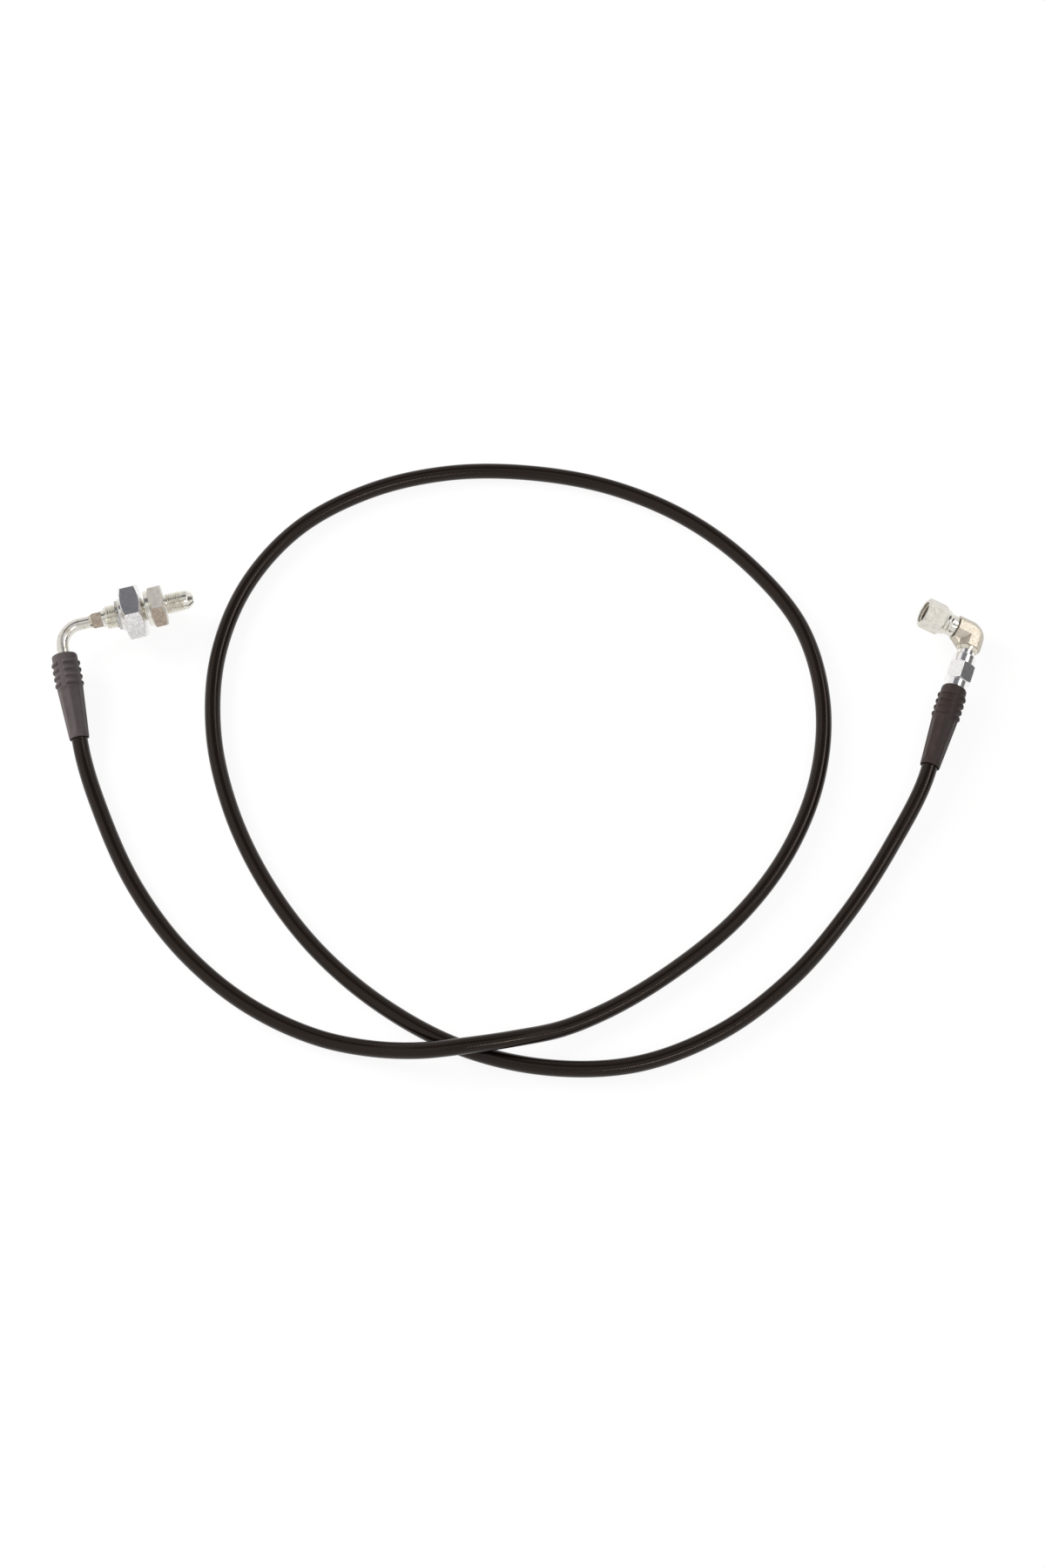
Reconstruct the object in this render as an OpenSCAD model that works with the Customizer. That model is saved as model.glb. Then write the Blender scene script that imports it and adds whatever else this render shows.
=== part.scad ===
// Small-bore hydraulic hose assembly.
// One end is a bent steel tube with a bracket-mounted bulkhead fitting, the other a forged
// 90 degree elbow with a female swivel nut. Moulded rubber boots cover both crimped joints.
// Millimetres, +Z up. The hose lies on the plane z = 0.

/* [Hose] */
// Outside diameter of the hose cover
hose_od = 8.2; // [7.6:0.1:8.6]
// Bore of the inner liner
hose_bore = 4; // [3.6:0.1:4.4]
// Wall of the inner liner
liner_wall = 0.75; // [0.5:0.05:0.85]
// Wall of the reinforcing braid
braid_wall = 0.4; // [0.3:0.05:0.45]
// Clearance drawn between two layers of the hose
layer_gap = 0.05; // [0.03:0.01:0.08]
// Sides of the swept hose sections
hose_sides = 10; // [8:2:12]

/* [Boots] */
// Length of a rubber boot
boot_len = 46.2; // [44:0.1:60]
// Wall of a boot round its ferrule
boot_wall = 0.85; // [0.7:0.05:1.2]
// Height of a boot's ribs above its collar
boot_rib_height = 0.85; // [0.5:0.05:1]
// Thickness of the lip that closes the left boot on the tube
boot_lip = 1.2; // [0.8:0.1:2]
// Wall of a boot at its mouth
boot_mouth_wall = 0.9; // [0.7:0.05:1.4]
// Number of ribs along a boot
boot_ribs = 4; // [2:1:4]
// Distance from one rib to the next
boot_rib_pitch = 3.75; // [3:0.05:4]
// Groups of ribs round a boot, with a smooth land between two groups
boot_rib_groups = 4; // [3:1:5]
// Angle that one group of ribs covers
boot_rib_arc = 62; // [40:1:68]

/* [Crimped joints] */
// Wall of the crimped ferrules
ferrule_wall = 1.4; // [1.1:0.05:1.6]
// Length of the crimped ferrules
ferrule_len = 16.5; // [14:0.5:18]
// Wall of the barbed tails below their barbs
tail_wall = 0.5; // [0.3:0.05:0.6]
// Barbs on each tail
tail_barbs = 5; // [3:1:6]

/* [Bent tube] */
// Outside diameter of the steel tube
tube_od = 6.35; // [5.5:0.05:6.5]
// Wall of the steel tube
tube_wall = 1; // [0.7:0.05:1.2]
// Radius of the bend on the tube's centre line
tube_bend_r = 11; // [9:0.5:12]
// Angle through which the tube turns
tube_bend_angle = 88.5; // [80:0.5:95]
// Straight tube between the braze and the bend
tube_straight = 5.5; // [2:0.1:10]
// Straight tube between the bend and the boot
tube_leg = 4.1; // [2:0.1:8]
// Depth of the tube's end inside the left boot, where the barbed insert takes it
tube_in_insert = 4.2; // [3:0.1:5]

/* [Bulkhead fitting] */
// Major diameter of the mounting thread
shank_thread_d = 12.7; // [12:0.1:13.5]
// Pitch of the mounting thread and the flare thread
thread_pitch = 1.27; // [1:0.01:1.5]
// Length of the mounting thread
shank_len = 21.8; // [20:0.1:28]
// Diameter of the round collar that bears on the bracket
collar_d = 18.7; // [17:0.1:20]
// Thickness of that collar
collar_t = 2.4; // [1.5:0.1:4]
// Size across flats of the fixed hexagon
body_hex_af = 20.6; // [19:0.1:22]
// Length of the fixed hexagon
body_hex_len = 7.1; // [5:0.1:10]
// Major diameter of the male flare thread
nipple_thread_d = 11.11; // [10:0.01:12]
// Length of the male flare thread
nipple_thread_len = 8; // [6:0.1:12]
// Diameter of the passage through the fittings
passage_d = 4; // [3:0.1:4.6]
// Wall of the spanner square round the tube's end
square_wall = 0.68; // [0.5:0.02:1.2]
// Length of the spanner square
square_len = 4.9; // [4:0.1:8]

/* [Lock nut and washers] */
// Size across flats of the lock nut
lock_nut_af = 27; // [24:0.5:28]
// Length of the lock nut
lock_nut_len = 10.1; // [8:0.1:12]
// Gap left for the bracket between the collar and the lock nut
bracket_gap = 2; // [1.6:0.1:3]
// Width of the plain washer's ring
flat_washer_w = 2.05; // [1.6:0.05:3]
// Thickness of the plain washer
flat_washer_t = 1.9; // [1:0.1:2]
// Width of the split washer's ring
lock_washer_w = 1.2; // [0.9:0.05:1.6]
// Thickness of the split washer
lock_washer_t = 1.5; // [1:0.1:1.6]

/* [Elbow end] */
// Size across flats of the forged elbow's eight-sided legs
elbow_af = 12.2; // [11.6:0.1:13]
// Radius of the elbow's outer corner
elbow_corner_r = 8; // [6:0.5:10]
// Radius of the hollow inside the elbow's bend
elbow_web_r = 5; // [4:0.5:6]
// Length of the elbow's leg towards the swivel nut
elbow_nut_leg = 9.9; // [9.5:0.1:12]
// Length of the elbow's leg towards the hose
elbow_hose_leg = 8.6; // [7.5:0.1:10]
// Size across flats of the hexagon on the hose stem
stem_hex_af = 12.7; // [12.3:0.1:13.2]
// Length of the hexagon on the hose stem
stem_hex_len = 10.4; // [7:0.1:12]
// Tilt of the swivel leg above the floor
elbow_tilt = 16; // [0:1:25]

/* [Swivel nut] */
// Size across flats of the swivel nut
swivel_af = 14.3; // [14:0.1:15]
// Length of the swivel nut
swivel_len = 18.3; // [18:0.1:22]
// Bore of the nut's thread, at its crests
swivel_thread_bore = 9.9; // [9.8:0.05:10.2]
// Length of the nut's thread
swivel_thread_len = 8.6; // [7:0.1:9]
// Outside diameter of the flared stub inside the nut
stub_d = 7; // [6.6:0.1:7.2]
// Running clearance between the nut and its stub, on the radius
swivel_clearance = 0.06; // [0.04:0.01:0.1]

/* [Hidden] */
$fn = 64;

// Finish colours
plate = "#c9c7c0";
plate_dark = "#8f8c88";
rubber = "#4b4444";
glossy = "#1c1b1b";
brass = "#b59a5a";

// Clearances shared by what fits together
seat_gap = 0.05;
crimp_gap = 0.1;
thread_gap = 0.05;
washer_gap = 0.15;
hex_chamfer_angle = 30;
countersink = 0.7;
flare_angle = 37;
bore_overlap = 1;

// Where the two ends lie, and which way they point
left_heading = 14.6;
tube_plane_tilt = 7;
right_heading = -20.3;
floor_gap = 0.1;

// How far each piece is turned about its own axis
body_hex_turn = 30;
square_turn = 28;
lock_nut_turn = 30;
split_turn = 200;
left_boot_turn = -26;
right_boot_turn = 133;
stem_hex_turn = 43.5;
swivel_nut_turn = 10.5;

// Radii of the hose and of what is crimped round it
hose_r = hose_od / 2;
crimp_bore_r = hose_r + crimp_gap;
ferrule_r = crimp_bore_r + ferrule_wall;
boot_bore_r = ferrule_r + crimp_gap;
boot_collar_r = boot_bore_r + boot_wall;
boot_rib_r = boot_collar_r + boot_rib_height;
boot_mouth_r = crimp_bore_r + boot_mouth_wall;

// Stations of a crimped joint, measured from the boot's fitting end towards the hose
lip_len = 2;
lip_depth = 0.45;
lip_z = tube_in_insert + 0.6;
lip_end_z = lip_z + lip_len;
lip_r = crimp_bore_r - lip_depth;
shoulder_end_z = lip_end_z + 1.6;
hose_start_z = shoulder_end_z + crimp_gap;
ferrule_end_z = lip_z + ferrule_len;
tail_end_z = ferrule_end_z - 1.5;

// The barbed tail fits inside the flats of the hose's swept bore
tail_barb_r = hose_bore / 2 * cos(180 / hose_sides) - seat_gap;
barb_depth = 0.25;
tail_root_r = tail_barb_r - barb_depth;
tail_bore_r = tail_root_r - tail_wall;

// Radii of the hose layers, from the bore outwards
liner_r = hose_bore / 2 + liner_wall;
braid_r = liner_r + layer_gap + braid_wall;

// Stations of the bulkhead fitting along its axis, from the bracket face of the collar
thread_depth = 0.613 * thread_pitch;
nipple_relief = 1.3;
nose_land = 3;
nose_len = 2.8;
hex_start_x = collar_t;
hex_end_x = hex_start_x + body_hex_len;
nipple_start_x = hex_end_x + nipple_relief;
nipple_end_x = nipple_start_x + nipple_thread_len;
nose_start_x = nipple_end_x + nose_land;
nose_end_x = nose_start_x + nose_len;
nipple_r = nipple_thread_d / 2;
nose_r = nipple_r - 0.6;
collar_r = collar_d / 2;
shank_r = shank_thread_d / 2;
passage_r = passage_d / 2;
tube_socket_r = tube_od / 2 + seat_gap;
square_half = tube_socket_r + square_wall;
square_corner_r = square_half + 1.1;
neck_r = square_half + 0.55;
neck_len = 2;
neck_end_x = -shank_len - neck_len;
square_end_x = neck_end_x - square_len;
socket_depth = 5.6;
lock_nut_x = -bracket_gap - lock_nut_len;
flat_washer_x = lock_nut_x - seat_gap - flat_washer_t;
lock_washer_x = flat_washer_x - seat_gap - lock_washer_t;

// The bent tube, from the braze to the boot
braze_len = 1.5;
bend_start_x = square_end_x - braze_len - tube_straight;
bend_tangent = tube_bend_r * tan(tube_bend_angle / 2);
tube_corner_x = bend_start_x - bend_tangent;
left_boot_z = bend_tangent + tube_leg;

// Stations of the elbow end, along each leg from the elbow's centre
stem_neck_len = 5;
stem_band_len = 5;
stem_collar_len = 4;
stem_neck_end = elbow_hose_leg + stem_neck_len;
stem_hex_start = stem_neck_end + stem_band_len;
stem_hex_end = stem_hex_start + stem_hex_len;
right_boot_z = stem_hex_end + stem_collar_len;
stem_neck_r = 4.4;
stem_band_r = stem_hex_af / 2 - 0.3;
stem_spigot_r = 3.4;
stem_spigot_len = 3;
elbow_half = elbow_af / 2;
elbow_flat = elbow_half * tan(22.5);
elbow_drop = elbow_half * cos(elbow_tilt) + elbow_flat * sin(elbow_tilt);
nut_start = elbow_nut_leg + 0.6;
nut_end = nut_start + swivel_len;
thread_start = nut_end - swivel_thread_len - 0.5;
stub_r = stub_d / 2;
stub_in_elbow = 5;
stub_head_r = swivel_thread_bore / 2 - 0.2;
stub_head_start = nut_start + 5.1;
stub_head_end = thread_start - 0.3;
wire_z = nut_start + 1.9;
wire_r = 0.42;

// The lock nut lies on one of its flats, and the boot's ribs or the elbow carry the other end
left_at = [-195.4, 36.6, lock_nut_af / 2];
right_at = [237.8, 24.2, max(boot_rib_r, elbow_drop) + floor_gap];

// Route of the hose between the boots: x, y and the share of the rise where it passes over
// itself. The rise lifts one strand clear of the other.
hose_path = [
    [-212, -76, 0], [-192, -115, 0], [-165, -149, 0], [-131, -176, 0], [-95, -192, 0],
    [-71, -197, 0.2], [-48, -199, 0.75], [-25, -197, 1], [-2, -193, 0.75], [21, -187, 0.2],
    [44, -177, 0], [78, -156, 0], [110, -129, 0], [136, -95, 0], [153, -55, 0],
    [158, -12, 0], [149, 30, 0], [124, 66, 0], [90, 95, 0], [50, 114, 0],
    [6, 123, 0], [-38, 123, 0], [-81, 112, 0], [-119, 89, 0], [-145, 55, 0],
    [-158, 14, 0], [-158, -30, 0], [-147, -72, 0], [-127, -112, 0], [-100, -147, 0],
    [-67, -175, 0], [-28, -196, 0], [14, -206, 0], [58, -204, 0], [99, -188, 0],
    [135, -161, 0], [164, -128, 0], [189, -91, 0.05]
];
crossing_gap = 0.5;
hose_lead = 14;
ring_pitch = 2.7 * hose_od;

// ---- vectors and the route ----

function unit(v) = v / norm(v);

// A point turned about the vertical axis
function turn_z(p, a) = [p[0] * cos(a) - p[1] * sin(a), p[0] * sin(a) + p[1] * cos(a), p[2]];

// A point turned about the X axis
function turn_x(p, a) = [p[0], p[1] * cos(a) - p[2] * sin(a), p[1] * sin(a) + p[2] * cos(a)];

// Direction of the tube's leg from the bend to the boot, and where its line starts
leg_angle = 180 + tube_bend_angle;
left_leg = turn_z(turn_x([cos(leg_angle), sin(leg_angle), 0], tube_plane_tilt), left_heading);
left_corner = left_at + turn_z([tube_corner_x, 0, 0], left_heading);
right_leg = turn_z([0, -1, 0], right_heading);

function left_point(z) = left_corner + (left_boot_z + z) * left_leg;
function right_point(z) = right_at + (right_boot_z + z) * right_leg;

rest_z = hose_r + floor_gap;
crossing_rise = hose_od + crossing_gap;
free_points = [for (p = hose_path) [p[0], p[1], rest_z + p[2] * crossing_rise]];
route = concat(
    [left_point(hose_start_z), left_point(boot_len), left_point(boot_len + hose_lead)],
    free_points,
    [right_point(boot_len + hose_lead), right_point(boot_len), right_point(hose_start_z)]
);
last = len(route) - 1;

// Control point i of the route, with one more laid out in line past each end
function control(i) =
    i < 0 ? 2 * route[0] - route[1]
    : i > last ? 2 * route[last] - route[last - 1]
    : route[i];

// The cubic through span i of the route, lowest power of t first
function cubic(i) =
    let(a = control(i - 1), b = control(i), c = control(i + 1), d = control(i + 2))
    0.5 * [2 * b, c - a, 2 * a - 5 * b + 4 * c - d, 3 * b - a - 3 * c + d];

// Place and direction on the smooth curve through the route, t from 0 to 1 on span i
function curve(i, t) = let(k = cubic(i)) k[0] + k[1] * t + k[2] * t * t + k[3] * t * t * t;
function heading(i, t) = let(k = cubic(i)) unit(k[1] + 2 * k[2] * t + 3 * k[3] * t * t);

function span_rings(i) = max(1, round(norm(route[i + 1] - route[i]) / ring_pitch));

stations = concat(
    [for (i = [0:last - 1]) let(n = span_rings(i)) for (k = [0:n - 1]) [i, k / n]],
    [[last - 1, 1]]
);

// One ring of points round the curve at a station
function ring(station, r) =
    let(
        centre = curve(station[0], station[1]),
        along = heading(station[0], station[1]),
        side = unit(cross(along, [0, 0, 1])),
        up = cross(side, along)
    )
    [
        for (k = [0:hose_sides - 1])
            let(a = 360 * k / hose_sides)
            centre + r * (cos(a) * side + sin(a) * up)
    ];

function point_no(j, k, first) = first + j * hose_sides + k % hose_sides;

// Two triangles for each side of each length of tube
function wall_faces(first, flip) = [
    for (j = [0:len(stations) - 2], k = [0:hose_sides - 1])
        let(
            a = point_no(j, k, first),
            b = point_no(j, k + 1, first),
            c = point_no(j + 1, k + 1, first),
            d = point_no(j + 1, k, first)
        )
        each flip ? [[a, b, c], [a, c, d]] : [[a, c, b], [a, d, c]]
];

// The flat ring that closes a layer at station j
function end_faces(j, inner, flip) = [
    for (k = [0:hose_sides - 1])
        let(
            a = point_no(j, k, 0),
            b = point_no(j, k + 1, 0),
            c = point_no(j, k + 1, inner),
            d = point_no(j, k, inner)
        )
        each flip ? [[a, c, b], [a, d, c]] : [[a, b, c], [a, c, d]]
];

// A layer of the hose, swept along the whole route
module hose_layer(inner_r, outer_r) {
    outer_points = [for (s = stations) each ring(s, outer_r)];
    inner_points = [for (s = stations) each ring(s, inner_r)];
    inner = len(outer_points);
    polyhedron(
        points = concat(outer_points, inner_points),
        faces = concat(
            wall_faces(0, false),
            wall_faces(inner, true),
            end_faces(0, inner, false),
            end_faces(len(stations) - 1, inner, true)
        )
    );
}

// ---- frames ----

// X along the bulkhead fitting's axis, towards its nose
module left_end() {
    translate(left_at) rotate([0, 0, left_heading]) children();
}

// Z along the bulkhead fitting's axis, turned about it by spin
module fitting_axis(spin = 0) {
    left_end() rotate([0, 90, 0]) rotate([0, 0, spin]) children();
}

// The plane that the bent tube lies in
module tube_plane() {
    left_end() rotate([tube_plane_tilt, 0, 0]) children();
}

// Z from the left boot's fitting end towards the hose
module left_boot_frame(spin = 0) {
    tube_plane() translate([bend_start_x, -tube_bend_r, 0]) rotate([0, 0, tube_bend_angle])
        translate([-tube_leg, tube_bend_r, 0]) rotate([0, -90, 0]) rotate([0, 0, spin]) children();
}

// Origin at the elbow's centre, hose leg along -Y and nut leg along -X
module right_end() {
    translate(right_at) rotate([0, 0, right_heading]) rotate([0, elbow_tilt, 0]) children();
}

// Z from the elbow's centre towards the hose
module stem_axis(spin = 0) {
    right_end() rotate([90, 0, 0]) rotate([0, 0, spin]) children();
}

// Z from the elbow's centre towards the swivel nut's mouth
module nut_axis(spin = 0) {
    right_end() rotate([0, -90, 0]) rotate([0, 0, spin]) children();
}

// Z from the right boot's fitting end towards the hose
module right_boot_frame(spin = 0) {
    stem_axis(spin) translate([0, 0, right_boot_z]) children();
}

// ---- shapes used more than once ----

// A solid of revolution from [radius, height] points
module turned(points) {
    rotate_extrude() polygon(points);
}

// A bore from z0 to z1
module bore(r, z0, z1) {
    translate([0, 0, z0]) cylinder(r = r, h = z1 - z0);
}

// A hexagon from z0 to z1 whose corners are chamfered at both ends
module chamfered_hex(af, z0, z1) {
    corner_r = af / 2 / cos(30);
    face_r = af / 2 * 0.97;
    drop = (corner_r - face_r) * tan(hex_chamfer_angle);
    intersection() {
        translate([0, 0, z0]) cylinder(r = corner_r, h = z1 - z0, $fn = 6);
        turned([
            [0, z0], [face_r, z0], [corner_r, z0 + drop], [corner_r, z1 - drop], [face_r, z1], [0, z1]
        ]);
    }
}

// The barbed tail that goes into the hose, with the shoulder that the ferrule locks on
module barbed_tail(start) {
    barb_pitch = (tail_end_z - shoulder_end_z - 1) / tail_barbs;
    turned([
        [0, start], [ferrule_r, start], [ferrule_r, lip_z - seat_gap],
        [lip_r - seat_gap, lip_z - seat_gap],
        [lip_r - seat_gap, lip_end_z + seat_gap], [crimp_bore_r - seat_gap, lip_end_z + seat_gap],
        [crimp_bore_r - seat_gap, shoulder_end_z], [tail_root_r, shoulder_end_z],
        [tail_root_r, tail_end_z - 0.6], [tail_root_r - 0.4, tail_end_z], [0, tail_end_z]
    ]);
    for (n = [0:tail_barbs - 1]) {
        z = shoulder_end_z + 1 + n * barb_pitch;
        barb_end = z + barb_pitch * 0.8;
        turned([[0, z], [tail_barb_r, z], [tail_root_r, barb_end], [0, barb_end]]);
    }
}

// ---- bulkhead fitting ----

module bulkhead_body() {
    edge = 0.3;
    groove = thread_pitch / 2;
    core_r = body_hex_af / 2 - 1;
    nipple_neck_r = nipple_r - thread_depth;
    groove_r = shank_r - thread_depth;
    shank_end = -shank_len + thread_depth;
    color(plate) fitting_axis() difference() {
        union() {
            turned([
                [0, neck_end_x - 1], [square_half - 0.2, neck_end_x - 1],
                [square_half - 0.2, neck_end_x],
                [neck_r, neck_end_x], [neck_r, -shank_len], [groove_r, -shank_len],
                [shank_r, shank_end], [shank_r, -groove], [groove_r, -groove],
                [groove_r, 0], [collar_r - edge, 0], [collar_r, edge],
                [collar_r, collar_t - edge], [collar_r - edge, collar_t], [core_r, collar_t],
                [core_r, hex_end_x - 1], [nipple_neck_r, hex_end_x - 1],
                [nipple_neck_r, nipple_start_x - 0.5], [nipple_r, nipple_start_x],
                [nipple_r, nipple_end_x], [nose_r, nipple_end_x + 0.5], [nose_r, nose_start_x],
                [nose_r - nose_len * tan(flare_angle), nose_end_x], [0, nose_end_x]
            ]);
            rotate([0, 0, body_hex_turn]) chamfered_hex(body_hex_af, hex_start_x, hex_end_x);
            rotate([0, 0, square_turn]) intersection() {
                translate([-square_half, -square_half, square_end_x])
                    cube([2 * square_half, 2 * square_half, square_len]);
                bore(square_corner_r, square_end_x, neck_end_x);
            }
        }
        bore(passage_r, square_end_x - bore_overlap, nose_end_x + bore_overlap);
        bore(tube_socket_r, square_end_x - bore_overlap, square_end_x + socket_depth);
    }
}

module lock_nut() {
    nut_bore = shank_r + thread_gap;
    mouth_r = nut_bore + countersink;
    color(plate_dark) fitting_axis(lock_nut_turn) difference() {
        chamfered_hex(lock_nut_af, lock_nut_x, -bracket_gap);
        turned([
            [0, lock_nut_x], [mouth_r, lock_nut_x], [nut_bore, lock_nut_x + countersink],
            [nut_bore, -bracket_gap - countersink], [mouth_r, -bracket_gap], [0, -bracket_gap]
        ]);
    }
}

module flat_washer() {
    edge = 0.4;
    inner_r = shank_r + washer_gap;
    outer_r = inner_r + flat_washer_w;
    color(plate) fitting_axis() difference() {
        turned([
            [0, flat_washer_x], [outer_r - edge, flat_washer_x], [outer_r, flat_washer_x + edge],
            [outer_r, flat_washer_x + flat_washer_t], [0, flat_washer_x + flat_washer_t]
        ]);
        bore(inner_r, flat_washer_x - bore_overlap, flat_washer_x + flat_washer_t + bore_overlap);
    }
}

module lock_washer() {
    slit = 1.2;
    slit_angle = 35;
    inner_r = shank_r + washer_gap;
    outer_r = inner_r + lock_washer_w;
    color(plate_dark) fitting_axis(split_turn) difference() {
        bore(outer_r, lock_washer_x, lock_washer_x + lock_washer_t);
        bore(inner_r, lock_washer_x - bore_overlap, lock_washer_x + lock_washer_t + bore_overlap);
        translate([0, 0, lock_washer_x + lock_washer_t / 2]) rotate([slit_angle, 0, 0])
            translate([0, -slit / 2, -lock_washer_t * 2]) cube([outer_r + 1, slit, lock_washer_t * 4]);
    }
}

// ---- bent tube ----

// The tube's section, with its wall drawn thinner on both sides by inset
module tube_section(inset = 0) {
    difference() {
        circle(r = tube_od / 2 - inset);
        circle(r = tube_od / 2 - tube_wall + inset);
    }
}

// Each straight leg starts just inside the wall of the bend, so that the three are one piece
module bent_tube() {
    inset = 0.02;
    overlap = 0.05;
    socket_x = square_end_x + socket_depth - 0.2;
    leg = tube_leg + tube_in_insert;
    color(plate) tube_plane() {
        translate([bend_start_x - overlap, 0, 0]) rotate([0, 90, 0])
            linear_extrude(socket_x - bend_start_x + overlap) tube_section(inset);
        translate([bend_start_x, -tube_bend_r, 0]) {
            rotate_extrude(angle = tube_bend_angle, start = 90)
                translate([tube_bend_r, 0]) tube_section();
            rotate([0, 0, tube_bend_angle]) translate([overlap, tube_bend_r, 0]) rotate([0, -90, 0])
                linear_extrude(leg + overlap) tube_section(inset);
        }
    }
}

module tube_braze() {
    color(brass) fitting_axis() turned([
        [tube_socket_r, square_end_x - braze_len], [tube_socket_r + 0.1, square_end_x - braze_len],
        [square_half - 0.15, square_end_x - seat_gap], [tube_socket_r, square_end_x - seat_gap]
    ]);
}

// ---- crimped joints ----

module left_insert() {
    color(plate) left_boot_frame() difference() {
        barbed_tail(boot_lip + seat_gap);
        bore(tail_bore_r, 0, tail_end_z + bore_overlap);
        bore(tube_socket_r, -bore_overlap, tube_in_insert + 0.1);
    }
}

// Ferrule with eight crimp flats and a lip that locks on the insert
module ferrule() {
    crimp_start = lip_end_z + 1;
    crimp_end = ferrule_end_z - 2;
    difference() {
        union() {
            turned([
                [0, lip_z], [ferrule_r - 0.5, lip_z], [ferrule_r, lip_z + 0.5],
                [ferrule_r, crimp_start], [0, crimp_start]
            ]);
            translate([0, 0, crimp_start]) intersection() {
                cylinder(r = ferrule_r / cos(22.5) * 0.96, h = crimp_end - crimp_start, $fn = 8);
                cylinder(r = ferrule_r, h = crimp_end - crimp_start);
            }
            bore(ferrule_r, crimp_end, ferrule_end_z);
        }
        bore(lip_r, 0, ferrule_end_z + bore_overlap);
        bore(crimp_bore_r, lip_end_z, ferrule_end_z + bore_overlap);
    }
}

module left_ferrule() {
    color(plate) left_boot_frame() ferrule();
}

module right_ferrule() {
    color(plate) right_boot_frame() ferrule();
}

// ---- rubber boots ----

// Moulded boot: collar, ribs in groups with lands between them, and an eight-sided taper.
// Its fitting end closes to throat_r.
module boot(throat_r) {
    rib_round = 1.1;
    rib_root_r = boot_rib_r - rib_round;
    group_angle = 360 / boot_rib_groups;
    first_rib_z = 5.3;
    taper_z = first_rib_z + (boot_ribs - 1) * boot_rib_pitch + 1.6;
    taper_r = boot_collar_r + 0.15;
    flat_share = 0.955 / cos(22.5);
    top_round = 1.1;
    lip = 0.5;
    mouth_flare = 0.45;
    difference() {
        union() {
            rotate_extrude() {
                square([boot_collar_r - top_round, taper_z + 1]);
                translate([0, top_round]) square([boot_collar_r, taper_z - top_round]);
                translate([boot_collar_r - top_round, top_round]) circle(top_round);
            }
            for (g = [0:boot_rib_groups - 1])
                rotate([0, 0, g * group_angle - boot_rib_arc / 2])
                    rotate_extrude(angle = boot_rib_arc) for (n = [0:boot_ribs - 1])
                        translate([rib_root_r, first_rib_z + n * boot_rib_pitch]) circle(rib_round);
            intersection() {
                turned([
                    [0, taper_z], [taper_r, taper_z], [boot_mouth_r, boot_len - lip],
                    [boot_mouth_r - lip, boot_len], [0, boot_len]
                ]);
                translate([0, 0, taper_z]) rotate([0, 0, 22.5]) cylinder(
                    r1 = taper_r * flat_share,
                    r2 = boot_mouth_r * flat_share,
                    h = boot_len - taper_z,
                    $fn = 8
                );
            }
        }
        bore(throat_r, -bore_overlap, boot_lip + bore_overlap);
        bore(boot_bore_r, boot_lip, ferrule_end_z + 0.4);
        bore(crimp_bore_r, boot_lip, boot_len + bore_overlap);
        turned([
            [0, boot_len - 1.2], [crimp_bore_r, boot_len - 1.2],
            [crimp_bore_r + mouth_flare, boot_len + bore_overlap], [0, boot_len + bore_overlap]
        ]);
    }
}

module left_boot() {
    color(rubber) left_boot_frame(left_boot_turn) boot(tube_od / 2 + crimp_gap);
}

module right_boot() {
    color(rubber) right_boot_frame(right_boot_turn) boot(boot_bore_r);
}

// ---- hose ----

module hose_liner() {
    color("#d8d2c4") hose_layer(hose_bore / 2, liner_r);
}

module hose_braid() {
    color("#8c8a86") hose_layer(liner_r + layer_gap, braid_r);
}

module hose_cover() {
    color(glossy) hose_layer(braid_r + layer_gap, hose_r);
}

// ---- elbow end ----

// Barbed stem with the spanner hexagon, brazed into the elbow
module right_stem() {
    spigot_z = elbow_hose_leg - stem_spigot_len;
    neck_z = elbow_hose_leg + seat_gap;
    edge = 0.4;
    color(plate) stem_axis() difference() {
        union() {
            turned([
                [0, spigot_z], [stem_spigot_r, spigot_z], [stem_spigot_r, neck_z],
                [stem_neck_r, neck_z],
                [stem_neck_r, stem_neck_end], [stem_band_r - edge, stem_neck_end],
                [stem_band_r, stem_neck_end + edge], [stem_band_r, right_boot_z],
                [stem_neck_r, right_boot_z], [stem_neck_r, right_boot_z + 1], [0, right_boot_z + 1]
            ]);
            rotate([0, 0, stem_hex_turn]) chamfered_hex(stem_hex_af, stem_hex_start, stem_hex_end);
            translate([0, 0, right_boot_z]) barbed_tail(0);
        }
        bore(tail_bore_r, spigot_z - bore_overlap, right_boot_z + tail_end_z + bore_overlap);
    }
}

module elbow_braze() {
    ring_r = stem_neck_r + seat_gap;
    start = elbow_hose_leg + seat_gap;
    color(brass) stem_axis() turned([
        [ring_r, start], [elbow_half - 0.5, start], [ring_r + 0.3, start + 1.7], [ring_r, start + 1.7]
    ]);
}

// An eight-sided bar along Z, with flats towards X and Y
module eight_bar(z0, z1) {
    corner_r = elbow_half / cos(22.5);
    corners = [for (k = [0:7]) corner_r * [cos(22.5 + 45 * k), sin(22.5 + 45 * k)]];
    translate([0, 0, z0]) linear_extrude(z1 - z0) polygon(corners);
}

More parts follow.
